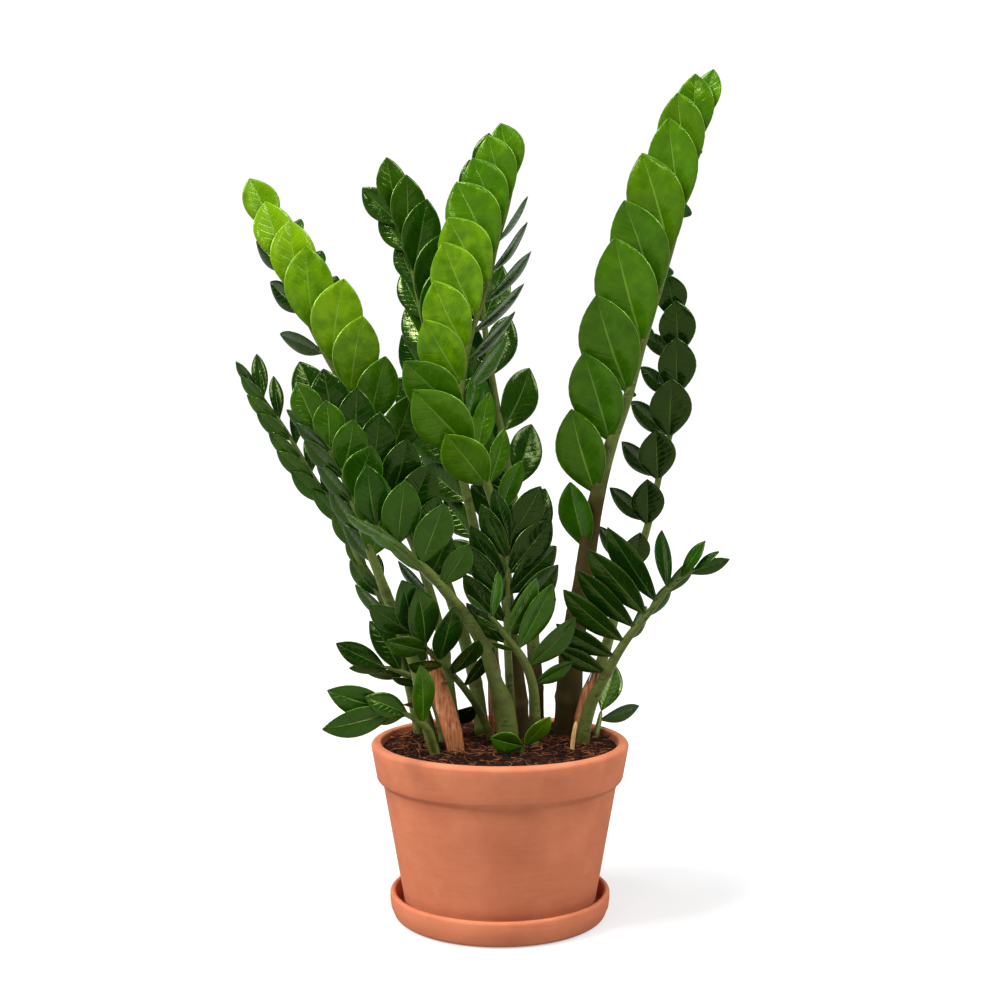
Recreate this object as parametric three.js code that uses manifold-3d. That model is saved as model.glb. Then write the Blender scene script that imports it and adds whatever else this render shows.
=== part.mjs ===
// A potted ZZ plant: a terracotta pot on its saucer, coir-rich soil, and leafy stems
// (fronds) that stand in the soil. Millimetres, +Z up. The origin is the middle of the
// saucer's underside, on the surface that the plant stands on, and -Y is the front.
import * as THREE from 'three';
import { mergeVertices } from 'three/addons/utils/BufferGeometryUtils.js';
import Module from 'manifold-3d';

const wasm = await Module();
wasm.setup();

// ---- Driving dimensions ----
const GAP = 0.3;                 // running clearance between pieces that touch
const SEAM = 0.05;               // faces smaller than this are merged where solids join

const SAUCER_FOOT_RADIUS = 109;
const SAUCER_BELLY_RADIUS = 115.5;
const SAUCER_MOUTH_RADIUS = 109.3;
const SAUCER_HEIGHT = 27;
const SAUCER_FLOOR = 7.5;
const SAUCER_LIP = 3.2;          // rounding of the saucer's edge
const SAUCER_FOOT_ROUND = 6;     // rounding where its underside turns up
const SAUCER_COVE = 5;           // width of the slope at the foot of its inner wall

const RIM_RADIUS = 135;
const RIM_TOP = 183.5;
const RIM_LIP = 4.5;             // rounding of the rim's outer edge
const BAND_RADIUS = 129.2;       // the rim band at its lower edge
const BAND_BOTTOM = 147;
const BAND_UNDERCUT = 3.5;       // height of the rounding under the band
const NECK_RADIUS = 122.7;       // the body just under the band
const NECK_HEIGHT = 140;
const FOOT_RADIUS = 99.4;
const FOOT_CHAMFER = 2;
const POT_FOOT = SAUCER_FLOOR + GAP;
const WALL = 10.9;
const POT_FLOOR = POT_FOOT + 12;
const DRAIN_RADIUS = 11;
const INNER_CORNER = 4;          // rounding inside, where the wall meets the floor
const INNER_LIP = 3;             // rounding of the rim's inner edge

const SOIL_DROP = 7;             // soil's edge below the rim
const SOIL_MOUND = 5;            // rise of the soil towards the middle
const SOIL_ROUGH = 1.6;
const STEM_DEPTH = 26;           // how deep a stem stands in the soil
const SHEATH_DEPTH = 14;
const SHEATH_PLAY = 3;           // degrees of air past each edge of a sheath in its slot

const LEAF_THICK = 2.0;          // blade thickness at the midrib
const LEAF_FOLD = 0.16;          // rise of the blade's edges, a share of its half width
const ROOT_OUT = 0.4;            // where a blade starts in its stem, a share of the radius
const LEAF_STATIONS = [0.12, 0.36, 0.64, 0.86];
const SMALL_LEAF = 84;           // leaflets shorter than this have fewer stations
const SMALL_STATIONS = [0.16, 0.5, 0.82];

const ROUND_SEGMENTS = 32;       // round a pot or a saucer
const STEM_SIDES = 6;
const CLEARANCE = 0.8;           // least air between a leaf and another stem's leaves
const OWN_CLEARANCE = 0.2;       // and between the blades of one stem, past their roots

// ---- Small maths ----
const rad = (degrees) => degrees * Math.PI / 180;
const mix = (a, b, t) => a + (b - a) * t;
const vec = (p) => new THREE.Vector3(p[0], p[1], p[2]);
const along = (start, direction, distance) => start.clone().addScaledVector(direction, distance);

// The value at a share t of a list that runs evenly from its first number to its last.
function profile(list, t) {
  const place = t * (list.length - 1);
  const i = Math.min(list.length - 2, Math.floor(place));
  return list.length === 1 ? list[0] : mix(list[i], list[i + 1], place - i);
}

// Park-Miller random numbers, so that every build draws the same ones.
function randomFrom(seed) {
  let state = seed;
  return () => {
    state = (state * 16807) % 2147483647;
    return state / 2147483647;
  };
}

// ---- Solids ----
function solidOf(geometry) {
  const bare = geometry.clone();
  bare.deleteAttribute('normal');
  bare.deleteAttribute('uv');
  const merged = mergeVertices(bare, 1e-4);
  return new wasm.Manifold(new wasm.Mesh({
    numProp: 3,
    vertProperties: new Float32Array(merged.attributes.position.array),
    triVerts: new Uint32Array(merged.index.array),
  }));
}

function geometryOf(solid) {
  const mesh = solid.simplify(SEAM).getMesh();
  const geometry = new THREE.BufferGeometry();
  geometry.setAttribute('position', new THREE.BufferAttribute(mesh.vertProperties, 3));
  geometry.setIndex(new THREE.BufferAttribute(mesh.triVerts, 1));
  geometry.computeVertexNormals();
  return geometry;
}

function closedGeometry(points, triangles) {
  const geometry = new THREE.BufferGeometry();
  geometry.setAttribute('position', new THREE.Float32BufferAttribute(
    points.flatMap((p) => [p.x, p.y, p.z]), 3));
  geometry.setIndex(triangles.flat());
  return geometry;
}

// A lathe turned about +Z from [radius, height] pairs.
function turned(section, segments = ROUND_SEGMENTS) {
  const geometry = new THREE.LatheGeometry(
    section.map(([r, z]) => new THREE.Vector2(r, z)), segments);
  geometry.rotateX(Math.PI / 2);
  return geometry;
}

// A rounded corner: points on an arc about (r, z) from one angle to another.
function arc(r, z, radius, from, to, steps = 3) {
  return Array.from({ length: steps + 1 }, (_, i) => {
    const a = rad(mix(from, to, i / steps));
    return [r + radius * Math.cos(a), z + radius * Math.sin(a)];
  });
}

// ---- Pot and saucer ----
const bodySlope = (NECK_RADIUS - FOOT_RADIUS) / (NECK_HEIGHT - POT_FOOT);
const rimInner = RIM_RADIUS - WALL;
const floorInner = FOOT_RADIUS + bodySlope * (POT_FLOOR - POT_FOOT) - WALL;
const cornerTop = POT_FLOOR + INNER_CORNER;
const innerRadius = (z) => mix(floorInner, rimInner,
  (z - cornerTop) / (RIM_TOP - INNER_LIP - cornerTop));

function makeSaucer() {
  const foot = SAUCER_FOOT_RADIUS - SAUCER_FOOT_ROUND / 2;
  const section = [
    [0, 0],
    [foot, 0],
    ...arc(foot, SAUCER_FOOT_ROUND, SAUCER_FOOT_ROUND, -60, -15, 1),
    [SAUCER_BELLY_RADIUS, 2 * SAUCER_HEIGHT / 3],
    ...arc(SAUCER_BELLY_RADIUS - SAUCER_LIP, SAUCER_HEIGHT - SAUCER_LIP, SAUCER_LIP, 0, 150, 3),
    [SAUCER_MOUTH_RADIUS - SAUCER_COVE / 2, SAUCER_FLOOR + SAUCER_COVE / 2],
    [SAUCER_MOUTH_RADIUS - SAUCER_COVE, SAUCER_FLOOR],
    [0, SAUCER_FLOOR],
  ];
  return turned(section);
}

function makePot() {
  const lip = RIM_RADIUS - RIM_LIP;
  const section = [
    [DRAIN_RADIUS, POT_FOOT],
    [FOOT_RADIUS - FOOT_CHAMFER, POT_FOOT],
    [FOOT_RADIUS, POT_FOOT + FOOT_CHAMFER],
    [NECK_RADIUS, NECK_HEIGHT],
    [mix(NECK_RADIUS, BAND_RADIUS, 0.66), BAND_BOTTOM - BAND_UNDERCUT],
    [BAND_RADIUS, BAND_BOTTOM],
    ...arc(lip, RIM_TOP - RIM_LIP, RIM_LIP, 0, 90, 3),
    ...arc(rimInner + INNER_LIP, RIM_TOP - INNER_LIP, INNER_LIP, 100, 180, 2),
    [floorInner, cornerTop],
    [floorInner - INNER_CORNER, POT_FLOOR],
    [DRAIN_RADIUS, POT_FLOOR],
    [DRAIN_RADIUS, POT_FOOT],
  ];
  return turned(section);
}

// ---- Soil: a plug that fills the pot, lumpy on top, with a lump of loose coir ----
const SOIL_EDGE = RIM_TOP - SOIL_DROP;
const COIR_LUMP = { at: [-90, -34], radius: 12, rise: 14 };

function soilHeight(x, y) {
  const share = Math.min(1, Math.hypot(x, y) / rimInner);
  const waves = Math.sin(x * 0.21 + 1.3) * Math.cos(y * 0.19 - 0.4)
    + 0.6 * Math.sin(x * 0.083 - y * 0.11 + 2.1);
  const lump = Math.exp(-((x - COIR_LUMP.at[0]) ** 2 + (y - COIR_LUMP.at[1]) ** 2)
    / (COIR_LUMP.radius ** 2));
  return SOIL_EDGE + SOIL_MOUND * (1 - share ** 2)
    + SOIL_ROUGH * waves * (1 - share ** 6) + COIR_LUMP.rise * lump;
}

function makeSoil() {
  const wall = innerRadius(SOIL_EDGE) - GAP;
  const rings = 3;
  const top = Array.from({ length: rings }, (_, i) => [wall * (1 - (i + 1) / rings), SOIL_EDGE]);
  const section = [
    [0, POT_FOOT + 1],
    [DRAIN_RADIUS - GAP, POT_FOOT + 1],
    [DRAIN_RADIUS - GAP, POT_FLOOR + GAP],
    [floorInner - INNER_CORNER - GAP, POT_FLOOR + GAP],
    [floorInner - GAP, cornerTop + GAP],
    [wall, SOIL_EDGE],
    ...top,
  ];
  const geometry = turned(section);
  const place = geometry.attributes.position;
  for (let i = 0; i < place.count; i += 1) {
    if (Math.abs(place.getZ(i) - SOIL_EDGE) < 0.01) {
      place.setZ(i, soilHeight(place.getX(i), place.getY(i)));
    }
  }
  return solidOf(geometry);
}

// ---- Stems ----
// A stem follows a smooth curve through its points, each with its radius. It starts below
// the soil, straight down from its first point.
function stemOf(frond) {
  const first = frond.path[0];
  const foot = [first[0], first[1], SOIL_EDGE - STEM_DEPTH, first[3]];
  const rows = [foot, ...frond.path];
  const curve = new THREE.CatmullRomCurve3(rows.map(vec), false, 'centripetal');
  const lengths = curve.getLengths(400);
  const total = lengths[lengths.length - 1];
  // Share of the curve's length at which each of its points lies.
  const shares = rows.map((_, i) => lengths[Math.round(400 * i / (rows.length - 1))] / total);
  const radius = (share) => {
    const i = Math.max(1, shares.findIndex((s) => s >= share - 1e-9));
    const t = (share - shares[i - 1]) / (shares[i] - shares[i - 1]);
    return mix(rows[i - 1][3], rows[i][3], t);
  };
  const facing = new THREE.Vector3(Math.sin(rad(frond.face)), -Math.cos(rad(frond.face)), 0);
  const frame = (share) => {
    const point = curve.getPointAt(share);
    const tangent = curve.getTangentAt(share).normalize();
    const normal = along(facing, tangent, -facing.dot(tangent)).normalize();
    const side = new THREE.Vector3().crossVectors(tangent, normal);
    return { point, tangent, normal, side };
  };
  return { total, radius, frame };
}

// A closed cylinder bent along the stem; extra makes it fatter and longer at its foot.
function stemSolid(stem, steps, extra = 0, to = 1) {
  const geometry = new THREE.CylinderGeometry(1, 1, 1, STEM_SIDES, steps);
  const place = geometry.attributes.position;
  for (let i = 0; i < place.count; i += 1) {
    const share = Math.min(1, Math.max(0, (place.getY(i) + 0.5) * to));
    const { point, tangent, normal, side } = stem.frame(share);
    const r = stem.radius(share) + extra;
    const p = along(along(point, side, r * place.getX(i)), normal, r * place.getZ(i));
    if (extra && share === 0) {
      p.addScaledVector(tangent, -extra);
    }
    place.setXYZ(i, p.x, p.y, p.z);
  }
  return solidOf(geometry);
}

// A sheath is a thin curled strip: an arc in section, narrowing to its tip.
function sheathSolid(sheath, extra = 0) {
  const rows = [[...sheath.path[0]], ...sheath.path];
  rows[0][2] = SOIL_EDGE - SHEATH_DEPTH - extra;
  const arcSteps = 4;
  const points = [];
  for (const [x, y, z, radius, wrap] of rows) {
    const half = wrap + (extra ? SHEATH_PLAY : 0);
    for (const [outside, r] of [[true, radius + sheath.thick + extra], [false, radius - extra]]) {
      for (let i = 0; i <= arcSteps; i += 1) {
        const share = outside ? i / arcSteps : 1 - i / arcSteps;
        const a = rad(sheath.facing + mix(-half, half, share));
        points.push(new THREE.Vector3(x + r * Math.sin(a), y - r * Math.cos(a), z));
      }
    }
  }
  const ring = 2 * (arcSteps + 1);
  const triangles = [];
  for (let k = 0; k < ring; k += 1) {
    const next = (k + 1) % ring;
    for (let s = 0; s < rows.length - 1; s += 1) {
      const a = ring * s + k;
      const b = ring * s + next;
      triangles.push([a, b, b + ring], [a, b + ring, a + ring]);
    }
  }
  const last = ring * (rows.length - 1);
  for (let a = 0; a < arcSteps; a += 1) {
    const b = ring - 1 - a;
    triangles.push([a, b, b - 1], [a, b - 1, a + 1]);
    triangles.push([last + a, last + b - 1, last + b], [last + a, last + a + 1, last + b - 1]);
  }
  return solidOf(closedGeometry(points, triangles));
}

// ---- Leaflets ----
// Half width of a leaflet, as a share of the widest, at a share of its length.
const outline = (u) => Math.sin(Math.PI * u ** 1.12) ** 0.74;

// A leaflet's place: where it leaves the stem, the way its midrib runs, and its upper face.
function leafPlace(stem, rank, leaf, bend) {
  const { point, tangent, normal, side } = stem.frame(leaf.share);
  const spread = rad(leaf.spread + bend.spread) * rank.side;
  const lift = rad(leaf.lift + bend.lift);
  const roll = rad(leaf.roll + bend.roll) * rank.side;
  const axis = tangent.clone().multiplyScalar(Math.cos(spread))
    .addScaledVector(side, Math.sin(spread))
    .multiplyScalar(Math.cos(lift))
    .addScaledVector(normal, Math.sin(lift));
  const upright = along(normal, axis, -normal.dot(axis)).normalize();
  const level = new THREE.Vector3().crossVectors(axis, upright);
  const up = upright.clone().multiplyScalar(Math.cos(roll)).addScaledVector(level, Math.sin(roll));
  const across = new THREE.Vector3().crossVectors(axis, up);
  const root = along(point, axis, stem.radius(leaf.share) * ROOT_OUT);
  return { root, axis, up, across };
}

// A closed blade of few faces: folded along its midrib and curled back towards its tip.
function leafSolid(place, leaf, grow = 0, firstStation = 0) {
  const { root, axis, up, across } = place;
  const long = leaf.long;
  const curl = leaf.curl * long;
  const stations = (leaf.long < SMALL_LEAF ? SMALL_STATIONS : LEAF_STATIONS).slice(firstStation);
  const start = firstStation ? stations[0] - 0.06 : 0;
  const points = [along(along(root, axis, start * long), up, -curl * start * start)];
  for (const u of stations) {
    const half = outline(u) * leaf.wide / 2 + grow;
    const thick = LEAF_THICK / 2 + grow;
    const middle = along(along(root, axis, u * long), up, -curl * u * u);
    const rise = LEAF_FOLD * half;
    points.push(
      along(along(middle, across, half), up, rise),
      along(middle, up, thick),
      along(along(middle, across, -half), up, rise),
      along(middle, up, -thick),
    );
  }
  points.push(along(along(root, axis, long + grow), up, -curl));
  const tip = points.length - 1;
  const triangles = [];
  for (let k = 0; k < 4; k += 1) {
    const next = (k + 1) % 4;
    triangles.push([0, 1 + k, 1 + next]);
    for (let s = 0; s < stations.length - 1; s += 1) {
      const a = 1 + 4 * s + k;
      const b = 1 + 4 * s + next;
      const c = b + 4;
      const d = a + 4;
      // The same diagonals on both faces, so that they never cross.
      triangles.push(...(k < 2 ? [[a, d, c], [a, c, b]] : [[a, d, b], [b, d, c]]));
    }
    triangles.push([tip - 4 + next, tip - 4 + k, tip]);
  }
  return solidOf(closedGeometry(points, triangles));
}

// The leaflets of one rank, from the stem's foot to its tip: how far apart, how long and
// which way, each a little different.
function leavesOf(rank, random) {
  const wobble = (size) => (random() - 0.5) * 2 * size;
  return Array.from({ length: rank.count }, (_, i) => {
    const t = rank.count > 1 ? i / (rank.count - 1) : 0;
    const crowd = 1 - (1 - t) ** (rank.crowd ?? 1);
    const long = profile(rank.long, t) * (1 + wobble(0.05));
    return {
      share: mix(rank.from, rank.to, crowd),
      long,
      wide: long * rank.plump * (1 + wobble(0.05)),
      spread: profile(rank.spread, t) + wobble(4),
      lift: profile(rank.lift, t) + wobble(4),
      roll: profile(rank.roll, t) + wobble(6),
      curl: 0.08 + wobble(0.05),
    };
  });
}

// ---- The fronds ----
// path: [x, y, z, radius] from the soil to the tip. face: the way the frond faces, in
// degrees round from the front. A rank of leaflets grows on the right (side 1) or the left
// (side -1) of the stem, between two shares of its length, and its other lists run evenly
// from the first leaflet to the last: length, and the angles that the midrib leaves the
// stem at, leans to the front at, and that the blade is turned by.
const BRIGHT = 0x5e9a10;
const FRESH = 0x3f8216;
const DEEP = 0x1f5222;

const FRONDS = [
  {
    name: 'frond_right_tall', colour: BRIGHT, face: 0, seed: 11, steps: 12,
    path: [[72, 34, 180, 14.5], [74, 36, 218, 14.5], [79, 38, 283, 13], [88, 38, 337, 11],
      [102, 37, 428, 9], [119, 36, 495, 7], [135, 35, 539, 5.5], [152, 33, 600, 4.3],
      [171, 31, 663, 3.4], [188, 30, 723, 2.8], [202, 30, 780, 2.3], [211, 32, 822, 1.8],
      [218, 33, 846, 1.4]],
    ranks: [
      { side: -1, count: 11, from: 0.32, to: 0.985, crowd: 1.3, plump: 0.62,
        long: [80, 102, 112, 118, 106, 92, 74, 52], spread: [26, 34, 36, 38, 32, 28, 22, 6],
        lift: [16, 10], roll: [34, 18, 18, 18, 20] },
      { side: -1, count: 7, from: 0.52, to: 0.93, plump: 0.55,
        long: [62, 80, 60], spread: [44, 36], lift: [-34, -26], roll: [-24, -20] },
      { side: 1, count: 5, from: 0.56, to: 0.93, plump: 0.52,
        long: [44, 54, 44], spread: [4, 2], lift: [-66, -52], roll: [20, 10] },
    ],
  },
  {
    name: 'frond_right_back', colour: DEEP, face: 0, seed: 23, steps: 9,
    path: [[88, 50, 178, 7], [101, 60, 224, 6.5], [119, 70, 278, 6], [135, 78, 334, 5.2],
      [156, 84, 379, 4.6], [169, 90, 422, 4], [180, 96, 470, 3.5], [194, 104, 520, 3],
      [201, 110, 577, 2.4], [200, 114, 620, 1.8], [197, 116, 642, 1.3]],
    ranks: [
      { side: -1, count: 7, from: 0.42, to: 0.985, crowd: 1.1, plump: 0.74,
        long: [50, 56, 62, 66, 66, 58, 52], spread: [18, 20, 14, 4], lift: [34, 26], roll: [0] },
      { side: -1, count: 6, from: 0.43, to: 0.9, crowd: 1.1, plump: 0.5,
        long: [58, 62, 52], spread: [64, 56], lift: [-18, -18], roll: [50, 40] },
    ],
  },
  {
    name: 'frond_centre_tall', colour: BRIGHT, face: 0, seed: 37, steps: 12,
    path: [[23, 14, 178, 9], [21, 12, 223, 8.5], [14, 8, 276, 7.6], [8, 4, 330, 6.8],
      [3, 0, 393, 5.8], [-6, -2, 430, 5.2], [-21, -4, 471, 4.6], [-37, -6, 515, 4],
      [-39, -8, 552, 3.6], [-30, -8, 607, 3.2], [-14, -6, 653, 2.8], [-4, -4, 698, 2.4],
      [7, 0, 736, 2], [13, 3, 762, 1.6], [16, 4, 778, 1.3]],
    ranks: [
      { side: -1, count: 11, from: 0.47, to: 0.985, crowd: 1.15, plump: 0.72,
        long: [76, 92, 78, 78, 82, 82, 84, 76, 60], spread: [14, 32, 38, 44, 44, 42, 28],
        lift: [16, 10], roll: [16, 20] },
      { side: 1, count: 10, from: 0.42, to: 0.88, plump: 0.42,
        long: [60, 72, 80, 78, 66], spread: [44, 34, 34, 30, 22], lift: [-6, -16],
        roll: [20, 30, 62, 70, 72] },
    ],
  },
  {
    name: 'frond_centre_left', colour: DEEP, face: 0, seed: 41, steps: 9,
    path: [[-4, 46, 178, 7.5], [-6, 52, 237, 7], [-14, 60, 324, 6.2], [-30, 66, 411, 5.4],
      [-52, 72, 499, 4.6], [-71, 76, 575, 3.8], [-86, 78, 638, 3.1], [-98, 79, 694, 2.4],
      [-108, 79, 732, 1.8], [-114, 78, 752, 1.3]],
    ranks: [
      { side: 1, count: 9, from: 0.5, to: 0.985, crowd: 1.1, plump: 0.6,
        long: [74, 84, 86, 78, 66], spread: [34, 34, 28, 8], lift: [14, 6], roll: [18, 20] },
      { side: -1, count: 11, from: 0.32, to: 0.97, crowd: 1.1, plump: 0.54,
        long: [56, 80, 92, 66, 54, 60], spread: [26, 34, 32, 18, 14, 30],
        lift: [-20, -10], roll: [20, 16] },
    ],
  },
  {
    name: 'frond_back_tall', colour: DEEP, face: 0, seed: 53, steps: 10,
    path: [[40, 48, 178, 8.5], [39, 60, 236, 8], [34, 76, 300, 7.2], [23, 94, 387, 6.2],
      [7, 108, 476, 5.2], [-9, 118, 567, 4.2], [-20, 124, 651, 3.2], [-25, 128, 724, 2.4],
      [-22, 130, 774, 1.8], [-18, 130, 796, 1.3]],
    ranks: [
      { side: -1, count: 11, from: 0.31, to: 0.985, crowd: 1.15, plump: 0.58,
        long: [68, 82, 86, 76, 56], spread: [44, 40, 30, 6], lift: [-6, 4], roll: [24, 20] },
      { side: 1, count: 7, from: 0.36, to: 0.95, plump: 0.56,
        long: [76, 86, 72, 54], spread: [34, 32, 26, 14], lift: [-16, -6], roll: [24, 20] },
    ],
  },
  {
    name: 'frond_left_bright', colour: BRIGHT, face: 0, seed: 67, steps: 10,
    path: [[-19, 32, 178, 8], [-27, 30, 241, 7.4], [-48, 28, 317, 6.6], [-76, 26, 392, 5.8],
      [-110, 24, 466, 5], [-142, 22, 519, 4.2], [-169, 22, 562, 3.6], [-199, 24, 616, 3],
      [-222, 28, 673, 2.4], [-240, 32, 713, 1.8], [-250, 34, 733, 1.3]],
    ranks: [
      { side: 1, count: 8, from: 0.55, to: 0.975, plump: 0.68,
        long: [72, 80, 90, 76, 62], spread: [52, 46, 34, 12, 4],
        lift: [14, 10], roll: [20, 20] },
      { side: 1, count: 6, from: 0.62, to: 0.93, plump: 0.55,
        long: [66, 72, 58], spread: [50, 40], lift: [-34, -26], roll: [-20, -20] },
      { side: -1, count: 6, from: 0.53, to: 0.9, plump: 0.5,
        long: [64, 60, 56], spread: [56, 44, 26], lift: [-16, -14], roll: [46, 40] },
    ],
  },
  {
    name: 'frond_left_dark', colour: DEEP, face: 0, seed: 71, steps: 9,
    path: [[-46, -14, 178, 6.2], [-52, -16, 236, 5.8], [-62, -20, 300, 5.2], [-78, -26, 360, 4.6],
      [-96, -32, 406, 4], [-120, -38, 446, 3.4], [-148, -42, 482, 2.8], [-172, -44, 508, 2.2],
      [-186, -44, 522, 1.4]],
    ranks: [
      { side: 1, count: 8, from: 0.5, to: 0.985, crowd: 1.1, plump: 0.66,
        long: [58, 66, 70, 68, 64], spread: [42, 50, 44, 30], lift: [10, 6], roll: [16, 18] },
      { side: -1, count: 7, from: 0.46, to: 0.93, plump: 0.46,
        long: [50, 56, 46], spread: [34, 24], lift: [-18, -8], roll: [44, 40] },
    ],
  },
  {
    name: 'frond_front_left', colour: FRESH, face: 0, seed: 79, steps: 11,
    path: [[9, -32, 178, 10], [7, -34, 205, 11.4], [2, -38, 230, 10.6], [-5, -44, 253, 7.6],
      [-14, -52, 283, 6.6], [-30, -62, 314, 6.2], [-47, -72, 338, 5.6], [-65, -82, 361, 5],
      [-97, -98, 392, 4], [-124, -108, 416, 2.6]],
    ranks: [
      { side: 1, count: 4, from: 0.7, to: 0.985, crowd: 1.05, plump: 0.64,
        long: [52, 66, 64, 62], spread: [68, 62, 56, 38], lift: [10, 4], roll: [10, 14] },
      { side: -1, count: 4, from: 0.66, to: 0.92, plump: 0.46,
        long: [44, 60, 54], spread: [12, 8], lift: [-14, 6], roll: [60, 50] },
    ],
  },
  {
    name: 'frond_left_pale', colour: FRESH, face: 0, seed: 83, steps: 9,
    path: [[-68, -38, 178, 7], [-79, -40, 226, 6.6], [-85, -44, 262, 6.2], [-98, -50, 299, 5.8],
      [-110, -56, 331, 5.4], [-121, -62, 361, 5], [-137, -70, 408, 4.2], [-146, -74, 437, 3.6],
      [-158, -78, 468, 3], [-173, -80, 496, 2.2], [-186, -80, 514, 1.4]],
    ranks: [
      { side: 1, count: 6, from: 0.62, to: 0.985, crowd: 1.1, plump: 0.74,
        long: [50, 56, 54, 48, 46], spread: [30, 42, 40, 30, 14], lift: [8, 6], roll: [14, 14] },
      { side: -1, count: 6, from: 0.6, to: 0.97, crowd: 1.1, plump: 0.44,
        long: [50, 58, 52, 42], spread: [24, 26, 14], lift: [-4, 4], roll: [40, 36] },
    ],
  },
  {
    name: 'frond_far_left', colour: FRESH, face: 0, seed: 97, steps: 9,
    path: [[-84, 2, 178, 5.4], [-95, 2, 236, 5], [-108, 0, 289, 4.6], [-128, -6, 342, 4.2],
      [-147, -10, 375, 3.8], [-162, -14, 411, 3.4], [-178, -16, 436, 3], [-195, -18, 463, 2.6],
      [-209, -20, 488, 2.3], [-225, -22, 515, 2], [-242, -24, 539, 1.6], [-252, -26, 556, 1.3]],
    ranks: [
      { side: -1, count: 12, from: 0.355, to: 0.985, crowd: 1.15, plump: 0.44,
        long: [58, 44, 52, 54, 48, 40, 34], spread: [26, 0, 16, 26, 24, 6], lift: [4, 6],
        roll: [40, 24, 34] },
      { side: 1, count: 8, from: 0.44, to: 0.96, crowd: 1.1, plump: 0.42,
        long: [36, 38, 40, 44, 46], spread: [30, 30, 30, 26], lift: [-14, -10], roll: [44, 36] },
    ],
  },
  {
    name: 'frond_front_small', colour: FRESH, face: 0, seed: 101, steps: 8,
    path: [[34, -24, 178, 6.4], [36, -28, 213, 5.8], [34, -36, 244, 5.2], [25, -48, 272, 4.6],
      [11, -58, 294, 4], [-3, -66, 313, 3], [-13, -71, 326, 1.8]],
    ranks: [
      { side: 1, count: 5, from: 0.5, to: 0.96, plump: 0.5,
        long: [48, 68, 72, 62, 48], spread: [80, 70, 66, 72, 50], lift: [-10, 8],
        roll: [10, 10, 20, 50] },
      { side: -1, count: 3, from: 0.72, to: 0.985, plump: 0.4,
        long: [30, 34, 30], spread: [30, 20, 8], lift: [10, 10], roll: [50] },
    ],
  },
  {
    name: 'frond_left_thin', colour: DEEP, face: 0, seed: 103, steps: 9,
    path: [[-8, 4, 178, 4.4], [-21, -2, 212, 4], [-33, -20, 235, 3.7], [-52, -50, 264, 3.3],
      [-70, -68, 285, 2.9], [-82, -76, 299, 2.4], [-90, -82, 310, 1.6]],
    ranks: [
      { side: 1, count: 5, from: 0.52, to: 0.985, crowd: 1.05, plump: 0.56,
        long: [54, 64, 70, 66], spread: [70, 56, 42, 26], lift: [10, 14], roll: [10, 24] },
      { side: -1, count: 4, from: 0.6, to: 0.97, plump: 0.5,
        long: [40, 46, 54, 60], spread: [40, 32, 12], lift: [16, 10], roll: [20, 10] },
      { side: -1, count: 1, from: 0.36, to: 0.36, plump: 0.6,
        long: [62], spread: [128], lift: [4], roll: [0] },
    ],
  },
  {
    name: 'frond_left_reach', colour: DEEP, face: 0, seed: 107, steps: 7,
    path: [[-60, 4, 178, 4.6], [-66, 4, 212, 4.2], [-76, 0, 234, 3.8], [-92, -6, 250, 3.3],
      [-110, -12, 259, 2.7], [-122, -16, 263, 1.6]],
    ranks: [
      { side: 1, count: 4, from: 0.6, to: 0.985, plump: 0.46,
        long: [54, 60, 60, 60], spread: [60, 50, 36, 10], lift: [-8, 4], roll: [20, 10] },
      { side: -1, count: 3, from: 0.66, to: 0.95, plump: 0.4,
        long: [34, 42, 40], spread: [40, 30, 22], lift: [-10, 0], roll: [30, 20] },
      { side: -1, count: 1, from: 0.5, to: 0.5, plump: 0.3,
        long: [36], spread: [64], lift: [8], roll: [30] },
    ],
  },
  {
    name: 'frond_left_low', colour: FRESH, face: 0, seed: 109, steps: 7,
    path: [[-65, -60, 178, 5.6], [-68, -66, 192, 4.8], [-72, -77, 209, 4], [-84, -88, 222, 3.2],
      [-97, -96, 230, 2.4], [-106, -100, 234, 1.6]],
    ranks: [
      { side: 1, count: 3, from: 0.66, to: 0.985, plump: 0.44,
        long: [72, 56, 70], spread: [42, 4, -4], lift: [4, 6], roll: [20, 6] },
      { side: -1, count: 2, from: 0.86, to: 0.96, plump: 0.42,
        long: [28, 80], spread: [44, 32], lift: [-4, 10], roll: [10, 4] },
    ],
  },
  {
    name: 'frond_right_low', colour: DEEP, face: 0, seed: 113, steps: 10,
    path: [[86, 0, 178, 7.4], [95, -6, 221, 6.6], [107, -14, 248, 5.8], [120, -24, 275, 5],
      [132, -34, 296, 4.4], [146, -46, 316, 3.8], [158, -56, 333, 3.2], [169, -64, 349, 2.6],
      [184, -70, 362, 2], [196, -74, 370, 1.4]],
    ranks: [
      { side: -1, count: 9, from: 0.42, to: 0.985, crowd: 1.1, plump: 0.42,
        long: [60, 78, 90, 98, 52, 32], spread: [86, 84, 78, 68, 34, 8], lift: [10, 6],
        roll: [12, 20, 50] },
      { side: 1, count: 4, from: 0.58, to: 0.96, plump: 0.42,
        long: [52, 54, 44], spread: [16, 20, 14], lift: [-60, -40, -8], roll: [20] },
    ],
  },
  {
    name: 'frond_centre_small', colour: DEEP, face: 0, seed: 127, steps: 8,
    path: [[14, -6, 178, 5], [11, -10, 227, 4.6], [8, -16, 281, 4.2], [7, -22, 333, 3.6],
      [8, -26, 374, 3], [11, -28, 402, 1.8]],
    ranks: [
      { side: 1, count: 6, from: 0.58, to: 0.985, crowd: 1.05, plump: 0.56,
        long: [66, 72, 70, 60], spread: [58, 50, 40, 26], lift: [-10, 6], roll: [30, 10] },
      { side: -1, count: 6, from: 0.54, to: 0.97, crowd: 1.05, plump: 0.46,
        long: [60, 68, 66, 54], spread: [42, 36, 28], lift: [4, 10], roll: [24, 30] },
    ],
  },
  {
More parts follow.
